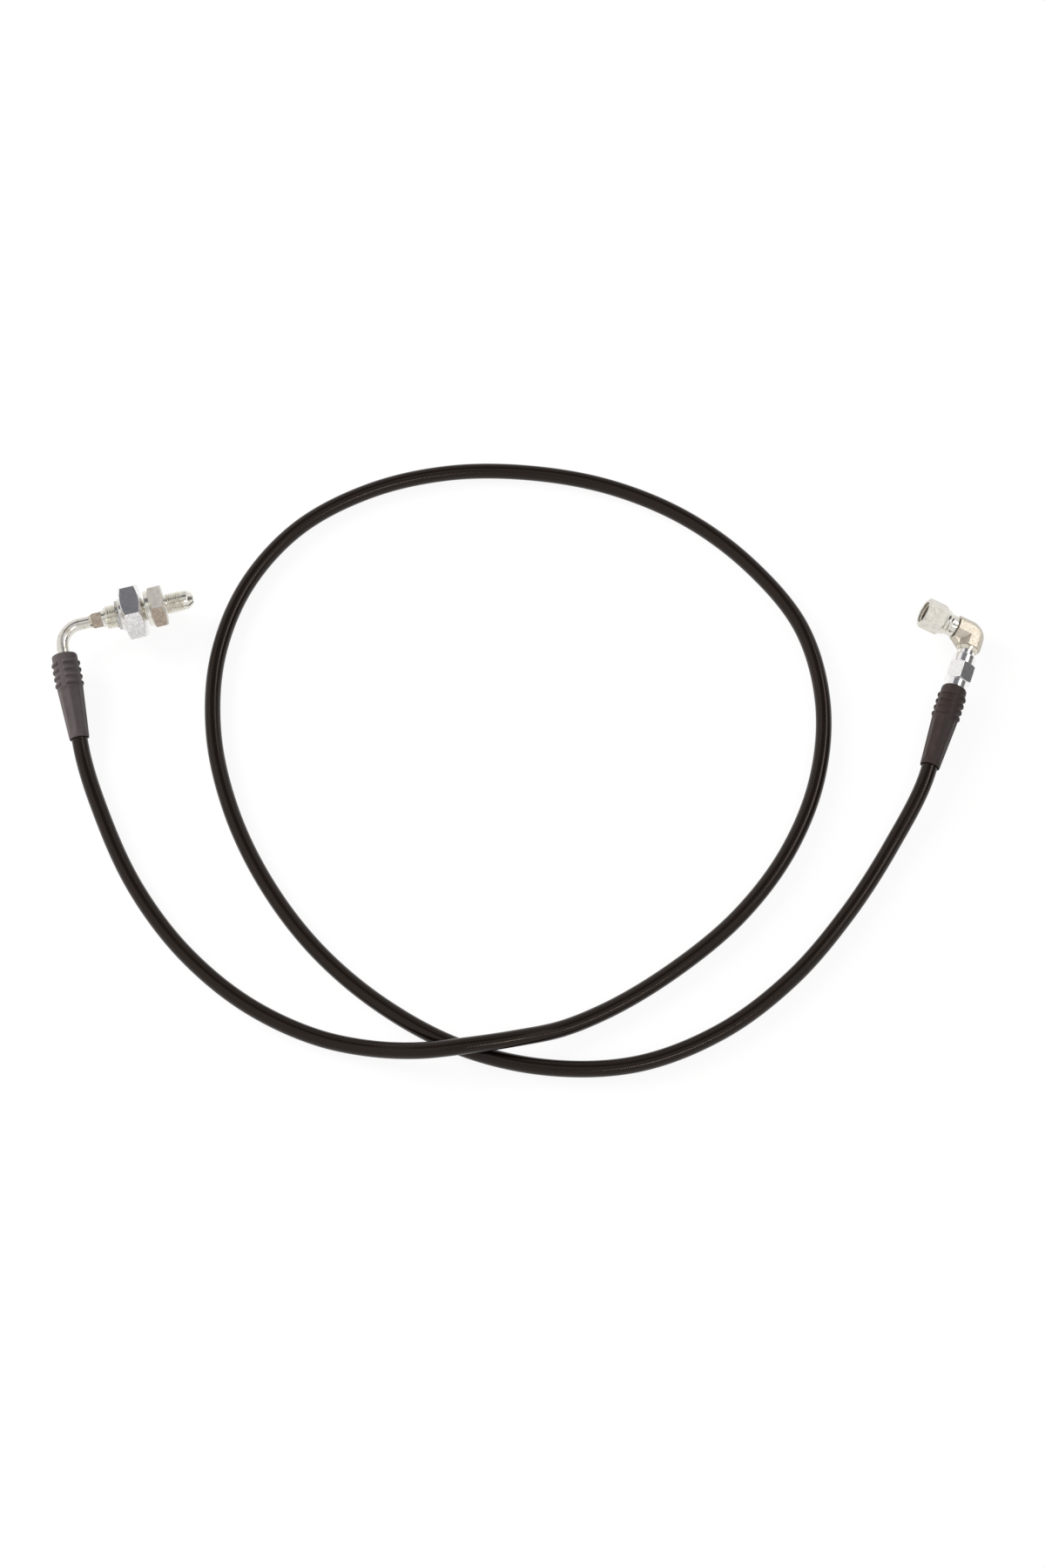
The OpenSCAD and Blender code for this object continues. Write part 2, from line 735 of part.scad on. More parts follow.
// Forged elbow: two eight-sided legs that meet in a rounded corner, with a web inside the bend
module elbow_body() {
    corner = elbow_half - elbow_corner_r;
    shoulder_r = elbow_flat - corner;
    web_at = -elbow_half - elbow_web_r;
    drill_r = passage_r - 0.1;
    socket_y = elbow_hose_leg - stem_spigot_len - seat_gap;
    color(plate_dark) right_end() difference() {
        union() {
            rotate([0, -90, 0]) eight_bar(-corner, elbow_nut_leg);
            rotate([90, 0, 0]) eight_bar(-corner, elbow_hose_leg);
            translate([corner, corner, 0]) rotate_extrude(angle = 90) polygon([
                [0, -elbow_half], [shoulder_r, -elbow_half], [elbow_corner_r, -elbow_flat],
                [elbow_corner_r, elbow_flat], [shoulder_r, elbow_half], [0, elbow_half]
            ]);
            difference() {
                translate([-elbow_nut_leg, -elbow_hose_leg, -elbow_flat])
                    cube([elbow_nut_leg, elbow_hose_leg, 2 * elbow_flat]);
                translate([web_at, web_at, -elbow_flat - 1])
                    cylinder(r = elbow_web_r, h = 2 * elbow_flat + 2);
            }
        }
        rotate([0, -90, 0]) {
            bore(passage_r, -passage_r, elbow_nut_leg + bore_overlap);
            bore(stub_r + seat_gap, elbow_nut_leg - stub_in_elbow, elbow_nut_leg + bore_overlap);
        }
        rotate([90, 0, 0]) {
            bore(drill_r, 0, elbow_hose_leg + bore_overlap);
            bore(stem_spigot_r + seat_gap, socket_y, elbow_hose_leg + bore_overlap);
        }
    }
}

// Stub pressed into the elbow, with the concave flare seat inside the swivel nut
module swivel_stub() {
    seat_r = stub_head_r - 0.5;
    seat_depth = (seat_r - passage_r) / tan(flare_angle);
    wire_groove_r = stub_r - wire_r - 0.03;
    stub_start = elbow_nut_leg - stub_in_elbow + seat_gap;
    color(plate) nut_axis() difference() {
        turned([
            [0, stub_start], [stub_r, stub_start], [stub_r, wire_z - wire_r - 0.05],
            [wire_groove_r, wire_z - wire_r - 0.05], [wire_groove_r, wire_z + wire_r + 0.05],
            [stub_r, wire_z + wire_r + 0.05], [stub_r, stub_head_start],
            [stub_head_r, stub_head_start + 1.2], [stub_head_r, stub_head_end], [0, stub_head_end]
        ]);
        bore(passage_r, stub_start - bore_overlap, stub_head_end + bore_overlap);
        turned([
            [0, stub_head_end - seat_depth], [passage_r, stub_head_end - seat_depth],
            [seat_r, stub_head_end], [seat_r, stub_head_end + bore_overlap],
            [0, stub_head_end + bore_overlap]
        ]);
    }
}

module swivel_nut() {
    collar_r = 5.75;
    collar_len = 2.6;
    half = swivel_af / 2;
    corner_r = half / cos(30);
    mouth_face_r = half - 0.15;
    mouth_drop = (corner_r - mouth_face_r) * tan(hex_chamfer_angle);
    hex_start = nut_start + 5.2;
    shoulder_end = nut_start + 8.2;
    back_bore = stub_r + swivel_clearance;
    chamber_r = swivel_thread_bore / 2 + 0.3;
    groove_r = stub_r + wire_r + 0.06;
    color(plate) nut_axis(swivel_nut_turn) difference() {
        union() {
            intersection() {
                translate([0, 0, hex_start]) cylinder(r = corner_r, h = nut_end - hex_start, $fn = 6);
                turned([
                    [0, hex_start], [half - 0.45, hex_start], [corner_r, shoulder_end],
                    [corner_r, nut_end - mouth_drop], [mouth_face_r, nut_end], [0, nut_end]
                ]);
            }
            turned([
                [0, nut_start], [collar_r - 0.3, nut_start], [collar_r, nut_start + 0.3],
                [collar_r, nut_start + collar_len], [half - 0.75, hex_start - 1],
                [half - 0.25, hex_start], [half - 0.05, hex_start + 1], [0, hex_start + 1]
            ]);
        }
        turned([
            [0, nut_start - bore_overlap], [back_bore, nut_start - bore_overlap],
            [back_bore, wire_z - wire_r - 0.05], [groove_r, wire_z - wire_r - 0.05],
            [groove_r, wire_z + wire_r + 0.05], [back_bore, wire_z + wire_r + 0.05],
            [back_bore, stub_head_start - 0.3], [chamber_r, stub_head_start + 1.2],
            [chamber_r, thread_start - 0.3], [swivel_thread_bore / 2, thread_start],
            [swivel_thread_bore / 2, nut_end - countersink],
            [swivel_thread_bore / 2 + countersink, nut_end],
            [swivel_thread_bore / 2 + countersink, nut_end + bore_overlap], [0, nut_end + bore_overlap]
        ]);
    }
}

module retaining_wire() {
    color(plate_dark) nut_axis() translate([0, 0, wire_z]) rotate_extrude()
        translate([stub_r + 0.02, 0]) circle(wire_r);
}

bulkhead_body();
lock_nut();
flat_washer();
lock_washer();
bent_tube();
tube_braze();
left_insert();
left_ferrule();
left_boot();
hose_liner();
hose_braid();
hose_cover();
right_boot();
right_ferrule();
right_stem();
elbow_braze();
elbow_body();
swivel_stub();
swivel_nut();
retaining_wire();
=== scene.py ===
"""Looks of a small-bore hydraulic hose assembly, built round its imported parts.

Z is up and the hose lies on the plane z = 0. Sizes are given in millimetres and degrees in the
dataclasses below, and become metres where a mesh or a frame is made.
"""

import logging
import math
from collections.abc import Callable, Sequence
from dataclasses import dataclass
from enum import Enum

import bmesh
import bpy
import numpy as np
from mathutils import Matrix, Vector


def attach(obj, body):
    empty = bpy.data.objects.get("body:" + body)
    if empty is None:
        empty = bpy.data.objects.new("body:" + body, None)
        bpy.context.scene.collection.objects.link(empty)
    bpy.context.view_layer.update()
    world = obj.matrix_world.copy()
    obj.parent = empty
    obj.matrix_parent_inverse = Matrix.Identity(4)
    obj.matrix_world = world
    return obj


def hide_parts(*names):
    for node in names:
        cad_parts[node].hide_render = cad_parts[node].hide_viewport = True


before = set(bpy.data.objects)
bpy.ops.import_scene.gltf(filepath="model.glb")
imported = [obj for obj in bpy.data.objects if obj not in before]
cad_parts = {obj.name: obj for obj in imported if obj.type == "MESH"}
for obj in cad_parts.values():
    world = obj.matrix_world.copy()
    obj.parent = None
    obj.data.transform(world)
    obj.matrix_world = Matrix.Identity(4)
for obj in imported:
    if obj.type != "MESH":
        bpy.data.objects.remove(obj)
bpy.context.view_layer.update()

LOG = logging.getLogger("hose_assembly")
MM = 0.001

Profile = Sequence[tuple[float, float]]
Colour = tuple[float, float, float]
Shades = tuple[Colour, Colour]
Limit = Callable[[np.ndarray], np.ndarray]


class Body(Enum):
    """The bodies that pieces ride on."""

    ASSEMBLY = "assembly"
    SWIVEL_NUT = "swivel_nut"


class Slot(Enum):
    """The record's material slots, whose names new pieces carry; each piece's finish is given to it
    directly.
    """

    BRIGHT_ZINC = "bright_zinc"
    BOOT_RUBBER = "boot_rubber"
    HOSE_COVER = "hose_cover"
    HOSE_BRAID = "hose_braid"
    HOSE_LINER = "hose_liner"


# -------- where the two ends lie


def turn(axis: str, degrees: float) -> Matrix:
    """Returns the 4 by 4 rotation about one axis."""
    return Matrix.Rotation(math.radians(degrees), 4, axis)


def shift(x: float, y: float, z: float) -> Matrix:
    """Returns the 4 by 4 move by millimetres."""
    return Matrix.Translation(Vector((x, y, z)) * MM)


@dataclass(frozen=True)
class BulkheadEnd:
    """Where the bulkhead fitting and its bent tube lie."""

    at: tuple[float, float, float] = (-195.4, 36.6, 13.5)
    heading: float = 14.6
    tube_plane_tilt: float = 7.0
    bend_start: float = -35.7
    bend_radius: float = 11.0
    bend_angle: float = 88.5
    tube_leg: float = 4.1
    boot_turn: float = -26.0

    def base(self) -> Matrix:
        """Returns the frame with X along the fitting, towards its nose."""
        return shift(*self.at) @ turn("Z", self.heading)

    def fitting(self) -> Matrix:
        """Returns the frame with Z along the fitting, towards its nose."""
        return self.base() @ turn("Y", 90)

    def tube_plane(self) -> Matrix:
        """Returns the frame in whose XY plane the tube is bent."""
        return self.base() @ turn("X", self.tube_plane_tilt)

    def boot(self) -> Matrix:
        """Returns the frame with Z from the boot's fitting end towards the hose."""
        bend = self.tube_plane() @ shift(self.bend_start, -self.bend_radius, 0) @ turn("Z", self.bend_angle)
        return bend @ shift(-self.tube_leg, self.bend_radius, 0) @ turn("Y", -90)


@dataclass(frozen=True)
class ElbowEnd:
    """Where the forged elbow and what it carries lie."""

    at: tuple[float, float, float] = (237.8, 24.2, 7.5)
    heading: float = -20.3
    tilt: float = 16.0
    boot_start: float = 33.0
    boot_turn: float = 133.0

    def base(self) -> Matrix:
        """Returns the frame with the hose leg along -Y and the nut leg along -X."""
        return shift(*self.at) @ turn("Z", self.heading) @ turn("Y", self.tilt)

    def nut(self) -> Matrix:
        """Returns the frame with Z from the elbow towards the swivel nut's mouth."""
        return self.base() @ turn("Y", -90)

    def boot(self) -> Matrix:
        """Returns the frame with Z from the boot's fitting end towards the hose."""
        return self.base() @ turn("X", 90) @ shift(0, 0, self.boot_start)


# -------- meshes


@dataclass
class Shell:
    """A grid of points in metres, rows by columns, that makes one surface of a piece.

    The last column joins the first where it is closed. `coords` holds texture coordinates.
    """

    points: np.ndarray
    closed: bool = True
    coords: np.ndarray | None = None

    def faces(self, first: int) -> list[list[int]]:
        """Lists the grid's quads.

        Args:
            first: Number of the grid's first vertex.

        Returns:
            Four vertices for each quad.
        """
        rows, cols = self.points.shape[:2]
        wide = cols if self.closed else cols - 1
        row, col = np.mgrid[: rows - 1, :wide]
        here, onward = first + row * cols, (col + 1) % cols
        quads = (here + col, here + onward, here + cols + onward, here + cols + col)
        return np.stack(quads, axis=2).reshape(-1, 4).tolist()


@dataclass(frozen=True)
class MeshPiece:
    """One object made of shells, which stands for a CAD node and rides on a CAD body.

    An edge is sharp where its faces meet at more than `sharp` degrees. Points within `weld`
    metres of each other become one.
    """

    name: str
    node: str
    body: Body
    slot: Slot
    finish: "Finish"
    sharp: float = 30.0
    weld: float = 2e-7

    def mesh(self, place: Matrix, shells: Sequence[Shell]) -> bpy.types.Mesh:
        """Makes the mesh.

        Args:
            place: Frame of the shells' points.
            shells: The surfaces that it is made of.

        Returns:
            The shells as one mesh in the assembly's frame.
        """
        points, faces, coords, first = [], [], [], 0
        for shell in shells:
            faces += shell.faces(first)
            flat = shell.points.reshape(-1, 3)
            points.append(flat)
            blank = np.zeros((len(flat), 2))
            coords.append(blank if shell.coords is None else shell.coords.reshape(-1, 2))
            first += len(flat)
        spin, move = np.array(place.to_3x3()), np.array(place.translation)
        made = bpy.data.meshes.new(self.name)
        made.from_pydata((np.concatenate(points) @ spin.T + move).tolist(), [], faces)
        layer = made.uv_layers.new(name="along")
        corner = np.zeros(len(made.loops), np.int32)
        made.loops.foreach_get("vertex_index", corner)
        layer.data.foreach_set("uv", np.concatenate(coords)[corner].astype(np.float32).ravel())
        return made

    def build(self, place: Matrix, *shells: Shell) -> bpy.types.Object:
        """Makes and dresses the object.

        Args:
            place: Frame of the shells' points.
            *shells: The surfaces that it is made of.

        Returns:
            The new object, in the assembly's frame.
        """
        made = self.mesh(place, shells)
        work = bmesh.new()
        work.from_mesh(made)
        bmesh.ops.remove_doubles(work, verts=work.verts, dist=self.weld)
        bmesh.ops.recalc_face_normals(work, faces=work.faces)
        work.to_mesh(made)
        work.free()
        made.shade_smooth()
        made.set_sharp_from_angle(angle=math.radians(self.sharp))
        piece = bpy.data.objects.new(self.name, made)
        bpy.context.scene.collection.objects.link(piece)
        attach(piece, self.body.value)
        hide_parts(self.node)
        self.finish.dress(piece)
        LOG.info("%s: %d faces, stands for %s", self.name, len(made.polygons), self.node)
        return piece


def bar_limit(sides: int, across_flats: float, spin: float, corner_r: float = math.inf) -> Limit:
    """Returns the radius of a bar with flat sides at each angle.

    Args:
        sides: Number of flats.
        across_flats: Size across flats in millimetres.
        spin: Angle of a corner in degrees.
        corner_r: Radius that the corners are turned to, in millimetres, where they are turned.

    Returns:
        A function of an array of angles in radians.
    """
    step = 2 * np.pi / sides

    def limit(angle: np.ndarray) -> np.ndarray:
        """Returns the bar's radius at the angles."""
        local = np.mod(angle - math.radians(spin), step) - step / 2
        return np.minimum(across_flats / 2 / np.cos(local), corner_r)

    return limit


class Lathe:
    """Turns profiles of (radius, height) in millimetres into shells with shared columns.

    No even column is nearer to a corner than the share CLEARED of a column's width.
    """

    CLEARED = 0.4

    def __init__(self, sides: int = 96, corners: Sequence[tuple[int, float]] = ()) -> None:
        """Sets the columns' angles.

        Args:
            sides: Number of even columns.
            corners: Counts and first angles in degrees of corners that get columns of their own.
        """
        even = [360 * k / sides for k in range(sides)]
        near = [first + 360 * k / count for count, first in corners for k in range(count)]
        kept = {round(a % 360, 4) for a in near}
        gap = self.CLEARED * 360 / sides
        free = [a for a in even if all(abs((a - b + 180) % 360 - 180) > gap for b in kept)]
        kept |= {round(a, 4) for a in free}
        self.angles = np.radians(sorted(kept | {0.0}))

    def ring(self, radius: np.ndarray | float, height: np.ndarray | float) -> np.ndarray:
        """Returns one row of points in millimetres."""
        r, z = (np.broadcast_to(value, self.angles.shape) for value in (radius, height))
        return np.stack([r * np.cos(self.angles), r * np.sin(self.angles), z], axis=1)

    def turned(self, profile: Profile) -> Shell:
        """Returns the surface of revolution of a profile."""
        return Shell(np.array([self.ring(r, z) for r, z in profile]) * MM)

    def barred(self, profile: Profile, limit: Limit) -> Shell:
        """Returns the surface that a bar with flats leaves of a turned profile.

        Args:
            profile: Points whose radius goes up and then down.
            limit: The bar's radius at each angle.

        Returns:
            The surface, with the curved lines where the turned cones meet the flats.
        """
        path, edge = np.array(profile, float), limit(self.angles)
        peak = int(np.argmax(path[:, 0]))
        rows = []
        for i, (r, z) in enumerate(path):
            side = path[: peak + 1] if i <= peak else path[peak:][::-1]
            crossing = np.interp(edge, side[:, 0], side[:, 1])
            rows.append(self.ring(np.minimum(r, edge), np.where(r > edge, crossing, z)))
        return Shell(np.array(rows) * MM)

    def threaded(self, thread: "Thread") -> Shell:
        """Makes a thread's surface.

        Args:
            thread: The thread.

        Returns:
            The surface, whose rows follow the helix.
        """
        angle = np.append(self.angles, 2 * np.pi)
        turns = int((thread.end - thread.start) / thread.pitch) + 2
        rows = []
        for n in range(-1, turns):
            for share, rise in thread.stops:
                height = thread.start + thread.pitch * (n + share + angle / (2 * np.pi))
                radius, held = thread.point(height, rise)
                rows.append(np.stack([radius * np.cos(angle), radius * np.sin(angle), held], axis=1))
        return Shell(np.array(rows) * MM, closed=False)


@dataclass(frozen=True)
class Thread:
    """A right-hand screw thread of 60 degrees, which fades to its root over `run_out`.

    On a female thread the crests have the smaller radius. Each of the stops is a share of the
    pitch and the rise from root to crest there.
    """

    crest_r: float
    root_r: float
    start: float
    end: float
    pitch: float = 1.27
    run_out: float = 0.5
    stops: tuple[tuple[float, float], ...] = ((0.08, 0.0), (0.43, 1.0), (0.56, 1.0), (0.92, 0.0))

    def point(self, height: np.ndarray, rise: float) -> tuple[np.ndarray, np.ndarray]:
        """Places points on the thread.

        Args:
            height: Their heights on an endless helix.
            rise: Their rise from root to crest, between 0 and 1.

        Returns:
            Their radius, and their height held between the thread's ends.
        """
        held = np.clip(height, self.start, self.end)
        near = np.minimum(held - self.start, self.end - held)
        share = rise * np.clip(near / self.run_out, 0, 1)
        return self.root_r + (self.crest_r - self.root_r) * share, held


# -------- shader maths


@dataclass(frozen=True)
class Socket:
    """One output of a shader node, with the arithmetic that a finish needs."""

    finish: "Finish"
    out: bpy.types.NodeSocket

    def maths(self, operation: str, *values: "Number") -> "Socket":
        """Returns a Math node's result."""
        return self.finish.node("Math", dict(enumerate(values)), operation=operation)

    def __add__(self, other: "Number") -> "Socket":
        """Returns self + other."""
        return self.maths("ADD", self, other)

    def __sub__(self, other: "Number") -> "Socket":
        """Returns self - other."""
        return self.maths("SUBTRACT", self, other)

    def __rsub__(self, other: "Number") -> "Socket":
        """Returns other - self."""
        return self.maths("SUBTRACT", other, self)

    def __mul__(self, other: "Number") -> "Socket":
        """Returns self * other."""
        return self.maths("MULTIPLY", self, other)

    __radd__, __rmul__ = __add__, __mul__

    def sine(self) -> "Socket":
        """Returns the sine of a value in radians."""
        return self.maths("SINE", self)

    def root(self) -> "Socket":
        """Returns the square root."""
        return self.maths("SQRT", self)

    def at_least(self, low: float) -> "Socket":
        """Returns the value, or low where that is larger."""
        return self.maths("MAXIMUM", self, low)

    def above(self, low: float, high: float) -> "Socket":
        """Returns 0 below low, 1 above high and a smooth step between them."""
        inputs = {"Value": self, "From Min": low, "From Max": high}
        return self.finish.node("MapRange", inputs, interpolation_type="SMOOTHSTEP")


Number = Socket | float | int


class Finish:
    """Base of every finish: a material whose nodes are made by one method."""

    def __init__(self, name: str) -> None:
        """Starts a material with a Principled shader and an output.

        Args:
            name: The material's name.
        """
        self.material = bpy.data.materials.new(name)
        self.material.use_nodes = True
        self.nodes = self.material.node_tree.nodes
        self.links = self.material.node_tree.links
        self.nodes.clear()
        self.surface = self.nodes.new("ShaderNodeBsdfPrincipled")
        self.output = self.nodes.new("ShaderNodeOutputMaterial")
        self.links.new(self.surface.outputs[0], self.output.inputs[0])

    def node(self, kind: str, inputs: dict, output: int | str = 0, **settings: int | str) -> Socket:
        """Adds a node.

        Args:
            kind: The node's type name after "ShaderNode".
            inputs: Values or sockets for its inputs, by name or number.
            output: Name or number of the output to return.
            **settings: Attributes to set before the inputs.

        Returns:
            The chosen output as a Socket.
        """
        made = self.nodes.new("ShaderNode" + kind)
        for key, value in settings.items():
            setattr(made, key, value)
        for key, value in inputs.items():
            self.plug(made.inputs[key], value)
        return Socket(self, made.outputs[output])

    def plug(self, target: bpy.types.NodeSocket, value: "Number | Colour") -> None:
        """Links a Socket to an input, or sets the input's value.

        Args:
            target: The input.
            value: The Socket or the value.
        """
        if isinstance(value, Socket):
            self.links.new(value.out, target)
        elif isinstance(value, tuple) and target.type == "RGBA":
            target.default_value = (*value, 1.0)
        else:
            target.default_value = value

    def set(self, **inputs: "Number | Colour") -> None:
        """Sets or links inputs of the Principled shader, with _ for each space."""
        for key, value in inputs.items():
            self.plug(self.surface.inputs[key.replace("_", " ")], value)

    def place(self, kind: str = "Object") -> Socket:
        """Returns the point in the object's own frame in metres, or another kind of coordinates."""
        return self.node("TexCoord", {}, kind)

    def facing(self, way: Socket, direction: Sequence[float], low: float, high: float) -> Socket:
        """Returns 1 where a unit vector points in a direction, and else 0."""
        return self.dot(way, tuple(direction)).above(low, high)

    def dot(self, vector: Socket, row: tuple[float, ...]) -> Socket:
        """Returns a vector's product with three numbers."""
        return self.node("VectorMath", {0: vector, 1: row}, "Value", operation="DOT_PRODUCT")

    def axis(self, point: Socket, name: str) -> Socket:
        """Returns one coordinate of a point."""
        return self.node("SeparateXYZ", {"Vector": point}, name)

    def between(self, value: Socket, low: float, high: float, soft: float = 0.05 * MM) -> Socket:
        """Returns 1 where a value lies between low and high, with soft ends, and else 0."""
        return value.above(low - soft, low + soft) * (1 - value.above(high - soft, high + soft))

    def seen_from(self, place: Matrix) -> Socket:
        """Returns the point in the axes of another frame."""
        point, rows = self.place(), enumerate(place.inverted()[:3])
        return self.node("CombineXYZ", {k: self.dot(point, tuple(row.to_3d())) + row.w for k, row in rows})

    def noise(
        self, scale: float, detail: float = 3, rough: float = 0.55, point: Socket | None = None
    ) -> Socket:
        """Returns a noise value between 0 and 1, `scale` cells to the metre."""
        inputs = {"Vector": point or self.place(), "Scale": scale, "Detail": detail, "Roughness": rough}
        return self.node("TexNoise", inputs)

    def cells(self, scale: float) -> Socket:
        """Returns the distance to the nearest of scattered points."""
        return self.node("TexVoronoi", {"Vector": self.place(), "Scale": scale})

    def mix(self, share: "Number", low: "Colour | Socket", high: "Colour | Socket") -> Socket:
        """Returns a colour between low and high."""
        return self.node("Mix", {0: share, 6: low, 7: high}, 2, data_type="RGBA")

    def edge_normal(self, radius: float) -> Socket:
        """Returns a normal that rounds edges to a radius in millimetres."""
        return self.node("Bevel", {"Radius": radius * MM}, samples=4)

    def bump(self, height: Socket, depth: float, edge: Socket | None = None) -> Socket:
        """Returns a normal for a height between 0 and 1 and a depth in millimetres."""
        inputs = {"Height": height, "Distance": depth * MM, "Strength": 1.0}
        return self.node("Bump", inputs if edge is None else inputs | {"Normal": edge})

    def ray(self, kind: str) -> Socket:
        """Returns 1 for one kind of ray, and else 0."""
        return self.node("LightPath", {}, kind)

    def blend(self, share: Socket, low: Socket, high: Socket) -> None:
        """Gives the output a shader between low and high."""
        both = self.node("MixShader", {0: share, 1: low, 2: high})
        self.links.new(both.out, self.output.inputs[0])

    def dress(self, *pieces: bpy.types.Object) -> None:
        """Gives the material to every face.

        Args:
            *pieces: The pieces to dress.
        """
        for piece in pieces:
            piece.data.materials.clear()
            piece.data.materials.append(self.material)


class ZincPlate(Finish):
    """Bright zinc plate over a turned or milled steel surface."""

    def __init__(
        self,
        name: str,
        shades: Shades = ((0.80, 0.79, 0.76), (0.62, 0.55, 0.42)),
        stained: float = 0.5,
        rough: float = 0.2,
    ) -> None:
        """Makes the finish.

        Args:
            name: The material's name.
            shades: Colours of the clean plate and of its yellowed patches.
            stained: Share of the stain in its patches.
            rough: Mean roughness.
        """
        super().__init__(name)
        patch = self.noise(240, 4).above(0.45, 0.75)
        cloud = self.noise(1300, 4)
        grain = self.noise(4200, 3, 0.7)
        self.set(
            Base_Color=self.mix(patch * stained, *shades),
            Metallic=1.0,
            Roughness=cloud * 0.2 + (rough - 0.1),
            Normal=self.bump(cloud * 0.4 + grain * 0.6, 0.004, self.edge_normal(0.15)),
        )


class DrawnTube(Finish):
    """Bright plate with fine streaks that follow the bent tube."""

    PLATE: Shades = ((0.76, 0.735, 0.68), (0.42, 0.335, 0.23))

    def __init__(self, end: BulkheadEnd) -> None:
        """Makes the finish.

        Args:
            end: Where the bent tube lies.
        """
        super().__init__("drawn_tube_plate")
        point = self.seen_from(end.tube_plane())
        left = (end.bend_start * MM - self.axis(point, "X")).at_least(0)
        front = (self.axis(point, "Y") + end.bend_radius * MM).at_least(0)
        reach = (left * left + front * front).root()
        across = self.node("CombineXYZ", {0: reach, 1: self.axis(point, "Z")})
        streak = self.noise(1500, 3, 0.6, across)
        patch = self.noise(330, 4).above(0.52, 0.72)
        grain = self.noise(3600)
        self.set(
            Base_Color=self.mix(patch * 0.5 + streak.above(0.56, 0.68) * 0.4, *self.PLATE),
            Metallic=1.0,
            Roughness=streak * 0.16 + 0.12,
            Normal=self.bump(streak * 0.7 + grain * 0.3, 0.012, self.edge_normal(0.15)),
        )


class ScuffedPlate(Finish):
    """Blue-grey plate with the scuffs that a spanner leaves on the flats."""

    PLATE: Shades = ((0.98, 0.96, 0.94), (0.66, 0.65, 0.67))
    PUSH = (4 * MM,) * 3

    def __init__(self, name: str, scuffed: float) -> None:
        """Makes the finish.

        Args:
            name: The material's name.
            scuffed: Share of the scuffs, between 0 and 1.
        """
        super().__init__(name)
        scuff = self.noise(620, 5, 0.65).above(0.36, 0.66)
        scratch = self.noise(1100, 5, 0.75, self.pushed_about())
        marked = scuff * 0.5 + scratch.above(0.46, 0.6) * 0.5
        self.set(
            Base_Color=self.mix(marked * scuffed, *self.PLATE),
            Metallic=1.0,
            Roughness=scuff * 0.12 + 0.12,
            Normal=self.bump(scuff * 0.7 + scratch * 0.3, 0.03 * scuffed, self.edge_normal(0.25)),
        )

    def pushed_about(self) -> Socket:
        """Returns the point moved by up to 4 mm, which bends the scratches."""
        push = self.node("TexNoise", {"Vector": self.place(), "Scale": 300.0}, "Color")
        return self.node("VectorMath", {0: push, 1: self.PUSH, 2: self.place()}, operation="MULTIPLY_ADD")


class BulkheadPlate(Finish):
    """The bulkhead body's plate: bright when turned, dull and grainy on the bar's own flats, brown on the
    square, with painted shade on the hex flat that faces the front.
    """

    TURNED: Shades = ((0.84, 0.82, 0.76), (0.56, 0.51, 0.38))
    FLATS: Shades = ((0.82, 0.795, 0.75), (0.52, 0.485, 0.43))
    # Brown of the square; the same brown is also painted shade on the front hex flat.
    BROWN_AND_PAINTED_SHADE: Shades = ((0.66, 0.575, 0.49), (0.24, 0.185, 0.145))
    PAINTED_SHADE_SIDE = (0.22, -0.84, 0.5)
    MARGIN = 0.3

    def __init__(self, end: BulkheadEnd, body: "BulkheadBody") -> None:
        """Makes the finish.

        Args:
            end: Where the fitting lies.
            body: The body, whose sizes tell the flats from the turned surfaces.
        """
        super().__init__("bulkhead_plate")
        along = self.axis(self.seen_from(end.fitting()), "Z")
        hexagon = self.between(along, (body.collar_len + self.MARGIN) * MM, body.hex_end * MM)
        square = self.between(along, body.square_end * MM, body.neck_end * MM)
        # Painted shade: the hex flat that faces the front gets a darker brown.
        front = self.facing(self.place("Normal"), self.PAINTED_SHADE_SIDE, 0.75, 0.9)
        patch = self.noise(420, 5, 0.65).above(0.35, 0.7)
        speck = self.noise(2300, 5, 0.75).above(0.4, 0.65)
        grain = self.noise(3000, 4, 0.7)
        pits = self.cells(2400)
        worn = patch * 0.35 + speck * 0.5
        # Mask of the brown square and of the painted shade on the front hex flat.
        brown_square_and_painted_shade = (hexagon * front * 0.75 + square).above(0.2, 0.8)
        dull = self.mix(brown_square_and_painted_shade, self.mix(worn, *self.FLATS), self.mix(worn, *self.BROWN_AND_PAINTED_SHADE))
        bar = hexagon + square
        self.set(
            Base_Color=self.mix(bar, self.mix(patch * 0.4, *self.TURNED), dull),
            Metallic=1.0,
            Roughness=bar * 0.52 + grain * 0.2 + 0.08,
            Normal=self.bump((grain * 0.6 + pits * 0.4) * (bar * 0.8 + 0.2), 0.03, self.edge_normal(0.2)),
        )


